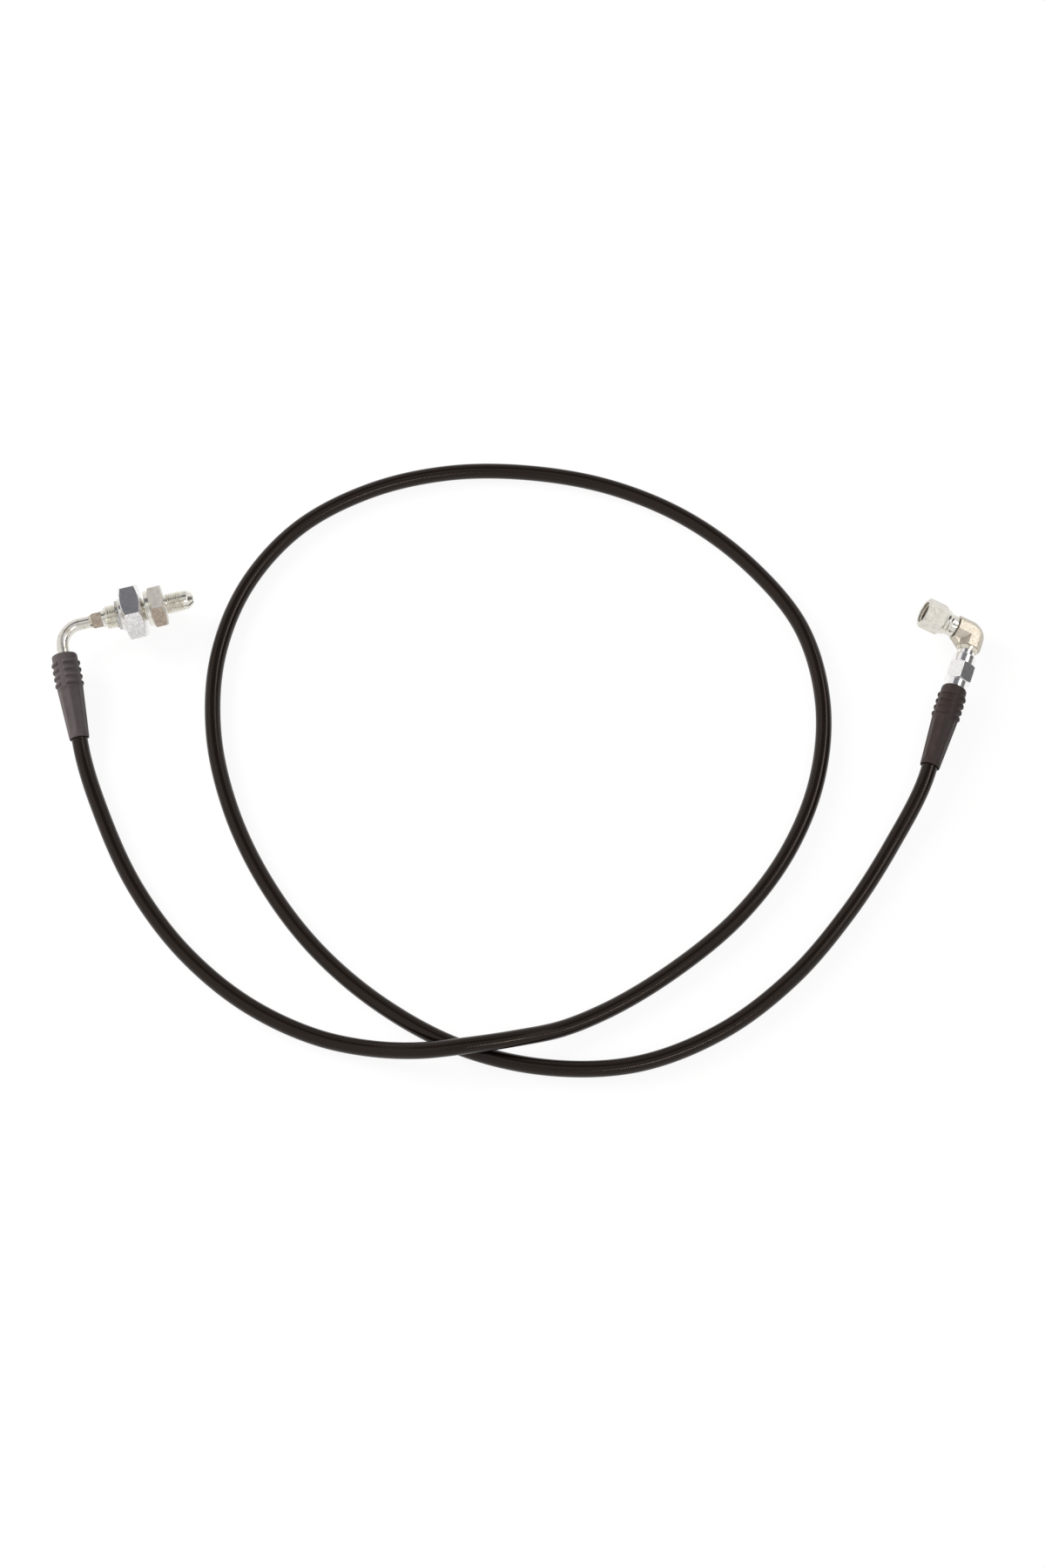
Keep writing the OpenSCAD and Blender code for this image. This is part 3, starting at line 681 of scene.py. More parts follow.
class SwivelNutPlate(Finish):
    """The swivel nut's plate: mirror-like on its turned collar, grainy on the bar's flats."""

    PLATE: Shades = ((0.79, 0.765, 0.71), (0.50, 0.455, 0.38))
    BORE: Colour = (0.60, 0.55, 0.45)
    BORE_FADE = (0.3, 0.2)
    FLATS_FADE = 1.2

    def __init__(self, end: ElbowEnd, nut: "SwivelNut") -> None:
        """Makes the finish.

        Args:
            end: Where the elbow lies that carries the nut.
            nut: The nut, whose sizes tell the flats from the turned surfaces.
        """
        super().__init__("swivel_nut_plate")
        seen = self.seen_from(end.nut())
        along, x, y = (self.axis(seen, name) for name in "ZXY")
        (inside, outside), bore_r = self.BORE_FADE, nut.thread_root_r
        bore = 1 - (x * x + y * y).root().above((bore_r - inside) * MM, (bore_r + outside) * MM)
        flats_start = nut.start + nut.shoulder_end
        bar = along.above((flats_start - self.FLATS_FADE) * MM, flats_start * MM)
        patch = self.noise(420, 5, 0.65).above(0.4, 0.7)
        speck = self.noise(2300, 5, 0.75).above(0.4, 0.65)
        grain = self.noise(3000, 4, 0.7)
        plate = self.mix(patch * 0.4 + speck * 0.35 * bar, *self.PLATE)
        self.set(
            Base_Color=self.mix(bore, plate, self.BORE),
            Metallic=1.0,
            Roughness=bar * 0.22 + grain * 0.12 + 0.03,
            Normal=self.bump(grain * (bar * 0.9 + 0.1), 0.025, self.edge_normal(0.2)),
        )


class Forging(Finish):
    """Satin zinc plate over the grainy skin of a forging."""

    SKIN: Shades = ((0.64, 0.59, 0.505), (0.38, 0.33, 0.255))

    def __init__(self) -> None:
        """Makes the finish."""
        super().__init__("forged_zinc_skin")
        patch = self.noise(380).above(0.3, 0.75)
        speck = self.noise(2100, 5, 0.75).above(0.4, 0.65)
        grain = self.noise(2600, 4, 0.7)
        pits = self.cells(2000)
        self.set(
            Base_Color=self.mix(patch * 0.35 + speck * 0.35, *self.SKIN),
            Metallic=1.0,
            Roughness=grain * 0.3 + 0.22,
            Normal=self.bump(grain * 0.6 + pits * 0.4, 0.06, self.edge_normal(0.5)),
        )


class BootRubber(Finish):
    """Matte moulded rubber with paler, dusty clouds."""

    def __init__(self, name: str, colour: Colour) -> None:
        """Makes the finish.

        Args:
            name: The material's name.
            colour: Colour of the clean rubber, with each boot's painted light and shade in it.
        """
        super().__init__(name)
        cloud = self.noise(160, 4).above(0.3, 0.75)
        dust = self.noise(1500, 4, 0.65).above(0.5, 0.8)
        grain = self.noise(5200, 2)
        pale = tuple(c * 1.45 + 0.008 for c in colour)
        self.set(
            Base_Color=self.mix(cloud * 0.45 + dust * 0.35, colour, pale),
            Roughness=cloud * 0.12 + 0.45,
            Normal=self.bump(grain, 0.01),
            Specular_IOR_Level=0.22,
        )


class HoseCover(Finish):
    """Glossy black cover through which the braid below shows as fine cross ridges, as a bump and as a
    painted sheen on their crests.
    """

    # Black of the cover, and the brown of its dust and of the painted sheen.
    COVER_DUST_AND_SHEEN: Shades = ((0.003, 0.0017, 0.0013), (0.036, 0.0235, 0.018))
    RIDGE_PITCH = 1.05

    def __init__(self) -> None:
        """Makes the finish."""
        super().__init__("glossy_hose_cover")
        phase = self.axis(self.place("UV"), "X") * (2 * math.pi / (self.RIDGE_PITCH * MM))
        ridge_and_painted_sheen = phase.sine() * 0.5 + 0.5
        cloud = self.noise(90).above(0.35, 0.7)
        dust = self.noise(1800).above(0.6, 0.8)
        self.set(
            # Painted sheen: the ridges' crests are painted lighter and browner, on top of the real dust.
            Base_Color=self.mix(dust * 0.25 + ridge_and_painted_sheen * 0.22, *self.COVER_DUST_AND_SHEEN),
            Roughness=cloud * 0.06 + 0.16,
            Normal=self.bump(ridge_and_painted_sheen, 0.022),
            Specular_IOR_Level=0.3,
            Specular_Tint=(1.0, 0.84, 0.74),
        )


class Plain(Finish):
    """A finish for what lies inside: one colour with a fine grain."""

    def __init__(self, name: str, colour: Colour, rough: float) -> None:
        """Makes the finish.

        Args:
            name: The material's name.
            colour: Its colour.
            rough: Its lowest roughness.
        """
        super().__init__(name)
        grain = self.noise(1600)
        dark = tuple(c * 0.8 for c in colour)
        self.set(
            Base_Color=self.mix(grain, colour, dark),
            Roughness=grain * 0.1 + rough,
            Normal=self.bump(grain, 0.02),
        )


class FloorCard(Finish):
    """White card that the camera and polished surfaces see as nearly plain white."""

    def __init__(self, glow: float) -> None:
        """Makes the finish.

        Args:
            glow: Share of light of its own.
        """
        super().__init__("floor_card")
        self.set(Base_Color=(0.97, 0.97, 0.97), Roughness=0.9, Specular_IOR_Level=0.0)
        glossy, through = self.ray("Is Glossy Ray"), self.ray("Is Transmission Ray")
        seen = self.ray("Is Camera Ray") + glossy + through
        card = self.node("Emission", {"Color": (1.0, 1.0, 1.0)})
        self.blend(seen * glow, Socket(self, self.surface.outputs[0]), card)


# -------- hose


@dataclass(frozen=True)
class HoseRoute:
    """The hose's route through the part's own points, with a short straight lead at each boot.

    The points hold the middle line's x and y, and its rise as a share of `crossing_rise`. Places
    along a boot are measured from its fitting end.
    """

    points: tuple[tuple[float, float, float], ...] = (
        (-212, -76, 0), (-192, -115, 0), (-165, -149, 0), (-131, -176, 0), (-95, -192, 0),
        (-71, -197, 0.2), (-48, -199, 0.75), (-25, -197, 1), (-2, -193, 0.75), (21, -187, 0.2),
        (44, -177, 0), (78, -156, 0), (110, -129, 0), (136, -95, 0), (153, -55, 0),
        (158, -12, 0), (149, 30, 0), (124, 66, 0), (90, 95, 0), (50, 114, 0),
        (6, 123, 0), (-38, 123, 0), (-81, 112, 0), (-119, 89, 0), (-145, 55, 0),
        (-158, 14, 0), (-158, -30, 0), (-147, -72, 0), (-127, -112, 0), (-100, -147, 0),
        (-67, -175, 0), (-28, -196, 0), (14, -205.8, 0), (58, -204, 0), (99, -188, 0),
        (135, -161, 0), (164, -128, 0), (189, -91, 0.05),
    )
    rest: float = 4.2
    crossing_rise: float = 8.7
    hose_start: float = 8.5
    ferrule_mouth: float = 21.3
    boot_len: float = 46.2
    lead: float = 5.0

    def control(self, left: Matrix, right: Matrix) -> np.ndarray:
        """Returns the route's control points in metres.

        Args:
            left: Frame of the left boot, Z towards the hose.
            right: Frame of the right boot, Z towards the hose.

        Returns:
            Array of points from inside one boot to inside the other.
        """
        stations = (self.hose_start, self.boot_len, self.boot_len + self.lead)
        first = [left @ Vector((0, 0, s * MM)) for s in stations]
        last = [right @ Vector((0, 0, s * MM)) for s in reversed(stations)]
        free = [Vector((x, y, self.rest + k * self.crossing_rise)) * MM for x, y, k in self.points]
        return np.array([list(p) for p in (*first, *free, *last)])

    def line(self, control: np.ndarray, step: float = 0.0022) -> np.ndarray:
        """Draws the smooth curve through the control points, nowhere lower than `rest`.

        Args:
            control: The control points in metres.
            step: Rough distance between two points of the curve in metres.

        Returns:
            Points close together on the curve.
        """
        chord = np.diff(control, axis=0)
        length = np.linalg.norm(chord, axis=1)[:, None]
        way = chord / length
        before, after = length[:-1], length[1:]
        inner = (way[:-1] * after + way[1:] * before) / (before + after)
        slope = np.concatenate([way[:1], inner, way[-1:]])
        made = []
        for k, far in enumerate(length[:, 0]):
            n = max(1, round(float(far) / step))
            t = (np.arange(n) / n)[:, None]
            ends = (2 * t**3 - 3 * t**2 + 1) * control[k] + (3 * t**2 - 2 * t**3) * control[k + 1]
            bend = (t**3 - 2 * t**2 + t) * slope[k] + (t**3 - t**2) * slope[k + 1]
            made.append(ends + bend * far)
        line = np.concatenate([*made, control[-1:]])
        line[:, 2] = np.maximum(line[:, 2], self.rest * MM)
        return line


def tube_shell(line: np.ndarray, radius: float, sides: int) -> Shell:
    """Returns a tube round a line.

    Args:
        line: Points in metres, close together.
        radius: The tube's radius in millimetres.
        sides: Number of sides.

    Returns:
        The surface. Its texture coordinates are the length in metres and the share of a turn.
    """
    along = np.gradient(line, axis=0)
    along /= np.linalg.norm(along, axis=1)[:, None]
    side = np.cross(along, (0.0, 0.0, 1.0))
    side /= np.linalg.norm(side, axis=1)[:, None]
    up = np.cross(side, along)
    angle = np.arange(sides) * 2 * np.pi / sides
    across = np.cos(angle)[None, :, None] * side[:, None]
    rise = np.sin(angle)[None, :, None] * up[:, None]
    far = np.concatenate([[0], np.cumsum(np.linalg.norm(np.diff(line, axis=0), axis=1))])
    coords = np.stack(np.meshgrid(far, angle / (2 * np.pi), indexing="ij"), axis=2)
    return Shell(line[:, None] + (across + rise) * radius * MM, coords=coords)


@dataclass(frozen=True)
class Hose:
    """The free hose: cover, braid and liner, each with its outer and inner radius."""

    route: HoseRoute = HoseRoute()
    cover: tuple[float, float] = (4.1, 3.25)
    braid: tuple[float, float] = (3.2, 2.8)
    liner: tuple[float, float] = (2.75, 2.0)
    sides: int = 40
    sharp: float = 40.0

    def build(self, left: Matrix, right: Matrix) -> None:
        """Args:
            left: Frame of the left boot.
            right: Frame of the right boot.
        """
        line = self.route.line(self.route.control(left, right))
        woven = Plain("woven_braid", (0.6, 0.58, 0.54), 0.6)
        smooth = Plain("smooth_liner", (0.85, 0.83, 0.76), 0.4)
        cover = self.layer("hose_cover_skin", Slot.HOSE_COVER, HoseCover(), line, self.cover)
        braid = self.layer("hose_braid_layer", Slot.HOSE_BRAID, woven, line, self.braid)
        liner = self.layer("hose_liner_layer", Slot.HOSE_LINER, smooth, line, self.liner)
        list(left @ Vector((0, 0, self.route.ferrule_mouth * MM)))

    def layer(
        self, name: str, slot: Slot, finish: Finish, line: np.ndarray, radii: tuple[float, float]
    ) -> bpy.types.Object:
        """Makes one closed layer.

        Args:
            name: The piece's name.
            slot: The slot of its finish, whose name is also that of the CAD node.
            finish: Its finish.
            line: The middle line in metres.
            radii: Its outer and inner radius.

        Returns:
            The new object.
        """
        outside, inside = (tube_shell(line, radius, self.sides) for radius in radii)
        ends = [Shell(np.stack([outside.points[e], inside.points[e]])) for e in (0, -1)]
        piece = MeshPiece(name, slot.value, Body.ASSEMBLY, slot, finish, self.sharp)
        return piece.build(Matrix.Identity(4), outside, inside, *ends)


# -------- rubber boots


@dataclass(frozen=True)
class Boot:
    """A moulded rubber boot, Z from its fitting end towards the hose.

    The fitting end closes to `throat_r`, and `mark_at` is the angle of a moulding mark. The flats
    on the taper begin and end over the two fades, and are hollow by `flute`.
    """

    throat_r: float
    mark_at: float | None = None
    length: float = 46.2
    collar_r: float = 6.55
    top_round: float = 1.1
    bore_r: float = 5.8
    lip: float = 1.2
    rib_r: float = 7.4
    rib_round: float = 1.1
    rib_blend: float = 0.12
    first_rib: float = 5.3
    rib_pitch: float = 3.75
    ribs: int = 4
    groups: int = 4
    group_arc: float = 62.0
    group_fade: float = 5.0
    mark_r: float = 0.55
    mark_height: float = 0.45
    mark_drop: float = 2.0
    taper_start: float = 18.15
    taper_r: float = 6.7
    flats: int = 8
    flat_share: float = 0.955
    flat_blend: float = 0.08
    flute: float = 0.18
    taper_fade: float = 2.5
    mouth_fade: float = 4.0
    mouth_len: float = 1.2
    mouth_r: float = 5.1
    mouth_round: float = 0.5
    mouth_flare: float = 0.45
    hose_bore_r: float = 4.2
    ferrule_mouth: float = 21.7
    sides: int = 120
    rib_step: float = 0.24
    taper_step: float = 0.8
    sharp: float = 42.0

    def outer(self, angle: np.ndarray, z: float) -> np.ndarray:
        """Finds the outside of the boot at one height.

        Args:
            angle: Angles in radians.
            z: The height.

        Returns:
            The radius at each angle.
        """
        top = np.clip((self.top_round - z) / self.top_round, 0, 1)
        collar = self.collar_r - self.top_round * (1 - math.sqrt(1 - top**2))
        body = np.full_like(angle, collar) if z < self.taper_start else self.taper(angle, z)
        ribbed = body
        for n in range(self.ribs):
            off = (z - self.first_rib - n * self.rib_pitch) / self.rib_round
            if abs(off) < 1:
                crown = self.rib_r - self.rib_round * (1 - math.sqrt(1 - off**2))
                ribbed = smooth_max(ribbed, crown, self.rib_blend)
        return body + (ribbed - body) * self.window(angle) + self.mark(angle, z)

    def window(self, angle: np.ndarray) -> np.ndarray:
        """Returns 1 on the groups of ribs and 0 on the lands between them."""
        inwards = math.radians(self.group_arc / 2) - np.abs(from_middle(angle, self.groups))
        return ramp(inwards / math.radians(self.group_fade) + 0.5)

    def taper(self, angle: np.ndarray, z: float) -> np.ndarray:
        """Finds the outside of the fluted taper and of its round mouth.

        Args:
            angle: Angles in radians.
            z: The height.

        Returns:
            The radius at each angle.
        """
        round_start = self.length - self.mouth_round
        share = (z - self.taper_start) / (round_start - self.taper_start)
        cone = self.taper_r + (self.mouth_r - self.taper_r) * min(share, 1)
        local = from_middle(angle, self.flats)
        flat = cone * self.flat_share / np.cos(local)
        hollow = self.flute * (1 - (2 * local / (2 * np.pi / self.flats)) ** 2)
        fluted = -smooth_max(-(flat - hollow), -cone, self.flat_blend)
        begun = ramp((z - self.taper_start) / self.taper_fade)
        fade = begun * ramp((self.length - self.mouth_len - z) / self.mouth_fade)
        edge = max(z - round_start, 0)
        tip = self.mouth_round - math.sqrt(max(self.mouth_round**2 - edge**2, 0))
        return cone + (fluted - cone) * fade - tip

    def mark(self, angle: np.ndarray, z: float) -> np.ndarray:
        """Finds the round moulding mark below the ribs.

        Args:
            angle: Angles in radians.
            z: The height.

        Returns:
            The mark's height over the surface at each angle.
        """
        if self.mark_at is None:
            return np.zeros_like(angle)
        across = self.taper_r * from_middle(angle - math.radians(self.mark_at), 1)
        far = np.hypot(across, z - self.taper_start - self.mark_drop)
        return self.mark_height * np.exp(-((far / self.mark_r) ** 2))

    def heights(self) -> list[float]:
        """Spaces the rows of points on the outside, closest where it curves most.

        Returns:
            Their heights.
        """
        fine_end, mouth = self.taper_start + 3, self.length - 1.5
        return np.concatenate([
            np.linspace(0.02, self.top_round, 7),
            np.arange(1.6, fine_end, self.rib_step),
            np.arange(fine_end, mouth - 0.1, self.taper_step),
            np.linspace(mouth, self.length, 12),
        ]).tolist()

    def build(self, name: str, node: str, place: Matrix, finish: Finish) -> None:
        """Makes and dresses the boot.

        Args:
            name: The piece's name.
            node: The CAD node that it replaces.
            place: The boot's frame.
            finish: Its rubber.
        """
        lathe, bore = Lathe(self.sides), self.hose_bore_r
        top = [(self.throat_r, 0), (self.collar_r - self.top_round, 0)]
        outside = [(self.outer(lathe.angles, z), z) for z in self.heights()]
        inside = [
            (bore + self.mouth_flare, self.length), (bore, self.length - self.mouth_len),
            (bore, self.ferrule_mouth), (self.bore_r, self.ferrule_mouth),
            (self.bore_r, self.lip), (self.throat_r, self.lip), (self.throat_r, 0),
        ]
        rows = [lathe.ring(radius, z) for radius, z in (*top, *outside, *inside)]
        piece = MeshPiece(name, node, Body.ASSEMBLY, Slot.BOOT_RUBBER, finish, self.sharp)
        piece.build(place, Shell(np.array(rows) * MM))


def from_middle(angle: np.ndarray, count: int) -> np.ndarray:
    """Returns how far each angle is from the middle of the nearest of `count` equal parts."""
    step = 2 * np.pi / count
    return np.mod(angle + step / 2, step) - step / 2


def ramp(share: np.ndarray | float) -> np.ndarray | float:
    """Returns a smooth step from 0 to 1."""
    held = np.clip(share, 0, 1)
    return held * held * (3 - 2 * held)


def smooth_max(a: np.ndarray | float, b: np.ndarray | float, soft: float) -> np.ndarray:
    """Returns the larger of two values, with the change between them softened."""
    return (a + b + np.sqrt((a - b) ** 2 + soft**2)) / 2


# -------- fittings


def chamfered(flat: float, face: float) -> tuple[float, float]:
    """Returns a hexagon's corner radius and the height of its chamfer down to a round face."""
    corner = flat / math.cos(math.pi / 6)
    return corner, (corner - face) * math.tan(math.pi / 6)


def eased(radius: float, z: float, offsets: Profile) -> Profile:
    """Returns points that ease a profile's corner, from their offsets to it."""
    return [(radius + out, z + up) for out, up in offsets]


@dataclass(frozen=True)
class BulkheadBody:
    """The bulkhead fitting's one-piece body, Z along it from the collar's bracket face.

    Each ease holds the offsets of the points that stand for a sharp corner. `square_columns` is
    the angle from the middles of the square's flats to extra columns.
    """

    socket_r: float = 3.225
    socket_end: float = -23.1
    square: float = 7.81
    square_turn: float = 28.0
    square_columns: float = 6.3
    square_end: float = -28.7
    square_face_r: float = 3.6
    square_chamfer: float = 0.8
    square_bar_r: float = 5.2
    square_corner_r: float = 5.005
    square_foot_r: float = 4.4
    square_foot: float = 0.4
    neck_end: float = -23.8
    neck_r: float = 4.455
    neck_inner_r: float = 3.705
    neck_edge: float = 0.15
    shank_end: float = -21.8
    shank_r: float = 6.35
    shank_run_out: float = 0.75
    thread_depth: float = 0.7785
    relief: float = 0.635
    collar_r: float = 9.35
    collar_len: float = 2.4
    collar_edge: float = 0.3
    hex_af: float = 20.6
    hex_turn: float = 30.0
    hex_end: float = 9.5
    face_share: float = 0.97
    nipple_r: float = 5.555
    nipple_start: float = 10.5
    nipple_end: float = 19.0
    nipple_ease: Profile = ((-0.1, 0.0), (0.0, 0.15))
    nose_r: float = 4.955
    nose_start: float = 21.8
    cone_ease: Profile = ((0.0, -0.1), (-0.06, 0.05))
    nose_end: float = 24.6
    nose_tip_r: float = 2.845
    tip_ease: Profile = ((0.12, -0.16), (0.0, -0.05), (-0.08, 0.0))
    passage_r: float = 2.0
    passage_edge: float = 0.25

    def shells(self) -> list[Shell]:
        """Makes the body from the square to the cone's tip, and back through the passage.

        Returns:
            Its surfaces in order.
        """
        sides = [(4, self.square_turn + turned) for turned in (-self.square_columns, self.square_columns)]
        lathe = Lathe(corners=((6, self.hex_turn), *sides))
        edge, root = self.collar_edge, self.shank_r - self.thread_depth
        face, nipple_root = self.hex_af / 2 * self.face_share, self.nipple_r - self.thread_depth
        corner, drop = chamfered(self.hex_af / 2, face)
        end, neck, collar = self.square_end, self.neck_end, self.collar_len
        thread = Thread(self.shank_r, root, self.shank_end, -self.relief, run_out=self.shank_run_out)
        square = [
            (self.socket_r, end), (self.square_face_r, end),
            (self.square_bar_r, end + self.square_chamfer),
            (self.square_bar_r, neck - self.square_foot), (self.square_foot_r, neck),
        ]
        shank = [
            (self.neck_inner_r, neck), (self.neck_r - self.neck_edge, neck),
            (self.neck_r, neck + self.neck_edge), (self.neck_r, self.shank_end), (root, self.shank_end),
        ]
        bracket = [
            (root, -self.relief), (root, 0), (self.collar_r - edge, 0), (self.collar_r, edge),
            (self.collar_r, collar - edge), (self.collar_r - edge, collar),
        ]
        hexagon = [
            (self.collar_r - edge, collar), (face, collar), (corner, collar + drop),
            (corner, self.hex_end - drop), (face, self.hex_end), (nipple_root, self.hex_end),
        ]
        cone = [
            (nipple_root, self.nipple_end),
            *eased(self.nose_r, self.nipple_end, self.nipple_ease),
            *eased(self.nose_r, self.nose_start, self.cone_ease),
            *eased(self.nose_tip_r, self.nose_end, self.tip_ease),
            (self.passage_r + self.passage_edge, self.nose_end),
            (self.passage_r, self.nose_end - self.passage_edge),
            (self.passage_r, self.socket_end), (self.socket_r, self.socket_end),
            (self.socket_r, self.square_end),
        ]
        square_bar = bar_limit(4, self.square, self.square_turn + 45, self.square_corner_r)
        return [
            lathe.barred(square, square_bar),
            lathe.turned(shank),
            lathe.threaded(thread),
            lathe.turned(bracket),
            lathe.barred(hexagon, bar_limit(6, self.hex_af, self.hex_turn)),
            lathe.turned([(nipple_root, self.hex_end), (nipple_root, self.nipple_start)]),
            lathe.threaded(Thread(self.nipple_r, nipple_root, self.nipple_start, self.nipple_end)),
            lathe.turned(cone),
        ]

    def build(self, end: BulkheadEnd) -> None:
        """Makes and dresses the body where the fitting lies."""
        steel = (Body.ASSEMBLY, Slot.BRIGHT_ZINC, BulkheadPlate(end, self))
        MeshPiece("bulkhead_body_threaded", "bulkhead_body", *steel).build(end.fitting(), *self.shells())


@dataclass(frozen=True)
class SwivelNut:
    """The female swivel nut, Z from the elbow towards its mouth.

    Places along the nut are measured from its back. A sag is a share of the curve's rise.
    """

    start: float = 10.5
    length: float = 18.3
    across_flats: float = 14.3
    hex_turn: float = 10.5
    collar_r: float = 5.75
    collar_len: float = 2.6
    collar_edge: float = 0.3
    hex_start: float = 5.2
    waist: float = 0.45
    waist_sag: float = 0.35
    shoulder_sag: float = 0.25
    shoulder_end: float = 8.2
    face_drop: float = 0.15
    back_bore_r: float = 3.56
    back_bore_end: float = 4.8
    wire_at: float = 1.9
    wire_half: float = 0.47
    wire_groove_r: float = 3.98
    chamber_r: float = 5.25
    chamber_start: float = 6.3
    thread_crest_r: float = 4.95
    thread_root_r: float = 5.6
    thread_len: float = 8.6
    thread_gap: float = 0.5
    run_out: float = 0.8
    countersink: float = 0.7
    mouth_edge: float = 0.1

    def shells(self) -> list[Shell]:
        """Makes the nut from its collar to the mouth, and back through the bore.

        Returns:
            Its surfaces in order.
        """
        lathe = Lathe(corners=((6, self.hex_turn),))
        back, mouth, flat = self.start, self.start + self.length, self.across_flats / 2
        face, mouth_r = flat - self.face_drop, self.thread_root_r + self.mouth_edge
        corner, drop = chamfered(flat, face)
        first, last = mouth - self.thread_len - self.thread_gap, mouth - self.countersink
        waist = (flat - self.waist, back + self.hex_start)
        collar = [
            (self.back_bore_r, back), (self.collar_r - self.collar_edge, back),
            (self.collar_r, back + self.collar_edge),
            *self.cove((self.collar_r, back + self.collar_len), waist, self.waist_sag),
        ]
        hexagon = [
            *self.cove(waist, (corner, back + self.shoulder_end), self.shoulder_sag),
            (corner, mouth - drop), (face, mouth), (mouth_r, mouth),
        ]
        thread = Thread(self.thread_crest_r, self.thread_root_r, first, last, run_out=self.run_out)
        wire = back + self.wire_at
        bore = [
            (self.thread_root_r, first), (self.chamber_r, first),
            (self.chamber_r, back + self.chamber_start), (self.back_bore_r, back + self.back_bore_end),
            (self.back_bore_r, wire + self.wire_half), (self.wire_groove_r, wire + self.wire_half),
            (self.wire_groove_r, wire - self.wire_half), (self.back_bore_r, wire - self.wire_half),
            (self.back_bore_r, back),
        ]
        return [
            lathe.turned(collar),
            lathe.barred(hexagon, bar_limit(6, self.across_flats, self.hex_turn)),
            lathe.turned([(mouth_r, mouth), (self.thread_root_r, last)]),
            lathe.threaded(thread),
            lathe.turned(bore),
        ]

    def build(self, end: ElbowEnd) -> None:
        """Makes and dresses the nut on the elbow."""
        steel = (Body.SWIVEL_NUT, Slot.BRIGHT_ZINC, SwivelNutPlate(end, self))
        MeshPiece("swivel_nut_threaded", "swivel_nut", *steel).build(end.nut(), *self.shells())

    @staticmethod
    def cove(a: tuple[float, float], b: tuple[float, float], sag: float, steps: int = 8) -> Profile:
        """Makes a hollow curve.

        Args:
            a: Its first point.
            b: Its last point.
            sag: Its depth as a share of its rise.
            steps: Number of straight parts.

        Returns:
            The points from a to b.
        """
        share = np.linspace(0, 1, steps + 1)
        radius = a[0] + (b[0] - a[0]) * share - sag * 4 * share * (1 - share) * (b[0] - a[0])
        height = a[1] + (b[1] - a[1]) * share
        return [(float(r), float(z)) for r, z in zip(radius, height)]


# -------- studio


@dataclass(frozen=True)
class Lamp:
    """A soft rectangular lamp that faces AIM, in metres and watts.

    Polished surfaces show it only where it is `shiny`.
    """

    name: str
    at: tuple[float, float, float]
    size: tuple[float, float]
    power: float
    colour: Colour
    shiny: bool = True
    AIM = (0, -0.05, 0)

    def build(self) -> None:
        """Makes the lamp."""
        data = bpy.data.lights.new(self.name, "AREA")
        data.shape = "RECTANGLE"
        data.size, data.size_y = self.size
        data.energy = self.power
        data.color = self.colour
        made = bpy.data.objects.new(self.name, data)
        made.location = self.at
        made.visible_glossy = self.shiny
        towards = Vector(self.at) - Vector(self.AIM)
        made.rotation_euler = towards.to_track_quat("Z", "Y").to_euler()
        bpy.context.scene.collection.objects.link(made)
        LOG.info("%s: %.1f W", self.name, self.power)


@dataclass(frozen=True)
class Card:
    """A round card in the surroundings with a soft edge, between two cosines of its angle."""

    towards: tuple[float, float, float]
    low: float
    high: float


class Surroundings(Finish):
    """The world's shader: white to the camera, and otherwise pale with cards of other colours."""

    CARDS = (
        ((0.55, 0.55, 0.55), (Card((0.2, -0.5, 0.84), 0.88, 0.97),)),
        ((0.6, 0.6, 0.6), (Card((0.1, 0.9, 0.4), 0.9, 0.97),)),
        ((0.17, 0.175, 0.195), (
            Card((-0.19, 0.43, 0.88), 0.93, 0.985), Card((0.17, 0.43, 0.89), 0.94, 0.98))),
        ((0.14, 0.14, 0.145), (Card((0.91, 0.14, 0.39), 0.91, 0.96),)),
    )

    def __init__(self) -> None:
        """Gives the scene a world with this shader."""
        world = bpy.data.worlds.new("surroundings")
        bpy.context.scene.world = world
        world.use_nodes = True
        self.nodes, self.links = world.node_tree.nodes, world.node_tree.links
        self.nodes.clear()
        self.output = self.nodes.new("ShaderNodeOutputWorld")
        room = self.mix(self.ray("Is Glossy Ray"), (0.56, 0.56, 0.56), (0.9, 0.9, 0.9))
        for colour, cards in self.CARDS:
            shares = [self.seen(card) for card in cards]
            room = self.mix(sum(shares[1:], shares[0]), room, colour)
        white = self.node("Background", {"Color": (1.0, 1.0, 1.0)})
        self.blend(self.ray("Is Camera Ray"), self.node("Background", {"Color": room}), white)

    def seen(self, card: Card) -> Socket:
        """Returns 1 in the directions of a card, and else 0."""
        middle = Vector(card.towards).normalized()
        return self.facing(self.place("Generated"), middle, card.low, card.high)


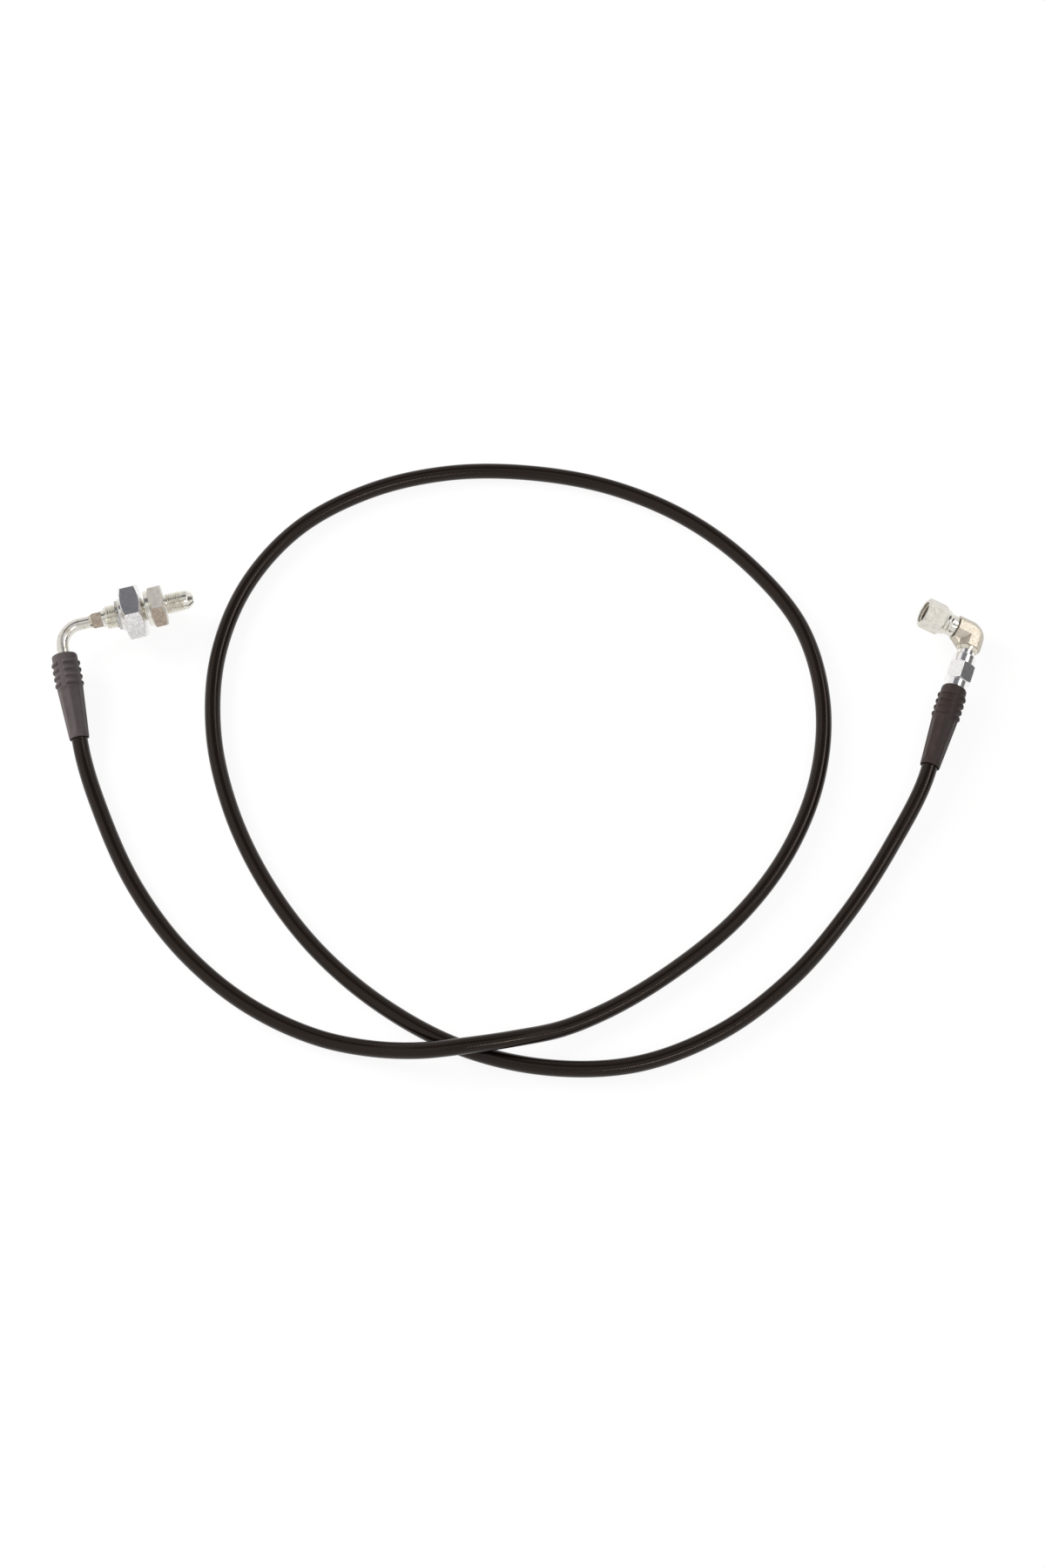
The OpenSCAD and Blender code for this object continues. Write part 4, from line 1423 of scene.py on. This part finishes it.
@dataclass(frozen=True)
class Studio:
    """Camera, lamps, floor and surroundings."""

    distance: float = 1.034
    elevation: float = 69.0
    aim: tuple[float, float, float] = (0.0018, -0.0567, 0.0)
    lens: float = 46.16
    sensor: float = 24.0
    clip_end: float = 20.0
    floor_half: float = 3.0
    floor_drop: float = 0.0002
    floor_glow: float = 0.9
    lamps: tuple[Lamp, ...] = (
        Lamp("soft_key", (-1.6, 0.75, 0.95), (1.2, 1.2), 54, (1.0, 0.99, 0.97), shiny=False),
        Lamp("front_strip", (0.6, -1.05, 1.3), (0.7, 0.1), 3.6, (1.0, 0.97, 0.93)),
        Lamp("right_strip", (1.15, 0.3, 1.3), (1.1, 0.32), 4.8, (1.0, 0.98, 0.95)),
    )

    def camera(self) -> None:
        """Makes the camera and looks through it."""
        data = bpy.data.cameras.new("camera")
        data.sensor_fit = "HORIZONTAL"
        data.sensor_width = self.sensor
        data.lens = self.lens
        data.clip_end = self.clip_end
        made = bpy.data.objects.new("camera", data)
        bpy.context.scene.collection.objects.link(made)
        lift = math.radians(self.elevation)
        back = Vector((0, -math.cos(lift), math.sin(lift)))
        made.location = Vector(self.aim) + back * self.distance
        made.rotation_euler = back.to_track_quat("Z", "Y").to_euler()
        bpy.context.scene.camera = made
        LOG.info("camera: %.3f m from the part", self.distance)

    def floor(self) -> None:
        """Makes the pale floor."""
        mesh, half = bpy.data.meshes.new("floor"), self.floor_half
        corners = [(-half, -half, 0), (half, -half, 0), (half, half, 0), (-half, half, 0)]
        mesh.from_pydata(corners, [], [(0, 1, 2, 3)])
        made = bpy.data.objects.new("floor", mesh)
        made.location.z = -self.floor_drop
        bpy.context.scene.collection.objects.link(made)
        FloorCard(self.floor_glow).dress(made)

    def build(self) -> None:
        """Makes the whole studio."""
        bpy.context.scene.view_settings.view_transform = "Standard"
        self.camera()
        self.floor()
        Surroundings()
        for lamp in self.lamps:
            lamp.build()


def dress_nodes(nodes: dict[str, bpy.types.Object], bulkhead: BulkheadEnd) -> None:
    """Gives the CAD nodes that keep their own shape their finishes.

    Args:
        nodes: The CAD nodes by name.
        bulkhead: Where the bent tube lies.
    """
    spring, braze = ((0.5, 0.5, 0.49), (0.62, 0.55, 0.42)), ((0.74, 0.70, 0.60), (0.40, 0.31, 0.2))
    plate = ZincPlate("bright_zinc_plate", rough=0.16)
    finishes = (
        (DrawnTube(bulkhead), ("bent_tube",)),
        (plate, ("left_insert", "left_ferrule", "right_ferrule", "swivel_stub")),
        (ScuffedPlate("lock_nut_plate", 1.0), ("lock_nut",)),
        (ScuffedPlate("stem_plate", 0.25), ("right_stem",)),
        (ZincPlate("washer_plate"), ("flat_washer",)),
        (ZincPlate("spring_steel_plate", spring, rough=0.28), ("lock_washer", "retaining_wire")),
        (Forging(), ("elbow_body",)),
        (ZincPlate("plated_braze", braze, 0.8), ("tube_braze", "elbow_braze")),
    )
    for finish, names in finishes:
        finish.dress(*(nodes[name] for name in names))
        LOG.info("%s: keeps its shape, dressed in %s", ", ".join(names), finish.material.name)


def main() -> None:
    """Builds the studio and the sub-assemblies in order."""
    logging.basicConfig(level=logging.INFO, format="%(message)s")
    bulkhead, elbow = BulkheadEnd(), ElbowEnd()
    Studio().build()
    Hose().build(bulkhead.boot(), elbow.boot())
    left = bulkhead.boot() @ turn("Z", bulkhead.boot_turn)
    right = elbow.boot() @ turn("Z", elbow.boot_turn)
    # Both boots are of one rubber: the left one's colour is painted lighter and the right one's darker, as
    # painted light and painted shade.
    left_rubber_painted_light = BootRubber("left_boot_rubber_painted_light", (0.068, 0.056, 0.056))
    right_rubber_painted_shade = BootRubber("right_boot_rubber_painted_shade", (0.028, 0.019, 0.017))
    Boot(3.275).build("left_boot_moulded", "left_boot", left, left_rubber_painted_light)
    Boot(5.8, mark_at=-16).build("right_boot_moulded", "right_boot", right, right_rubber_painted_shade)
    BulkheadBody().build(bulkhead)
    SwivelNut().build(elbow)
    dress_nodes(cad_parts, bulkhead)


if __name__ == "__main__":
    main()
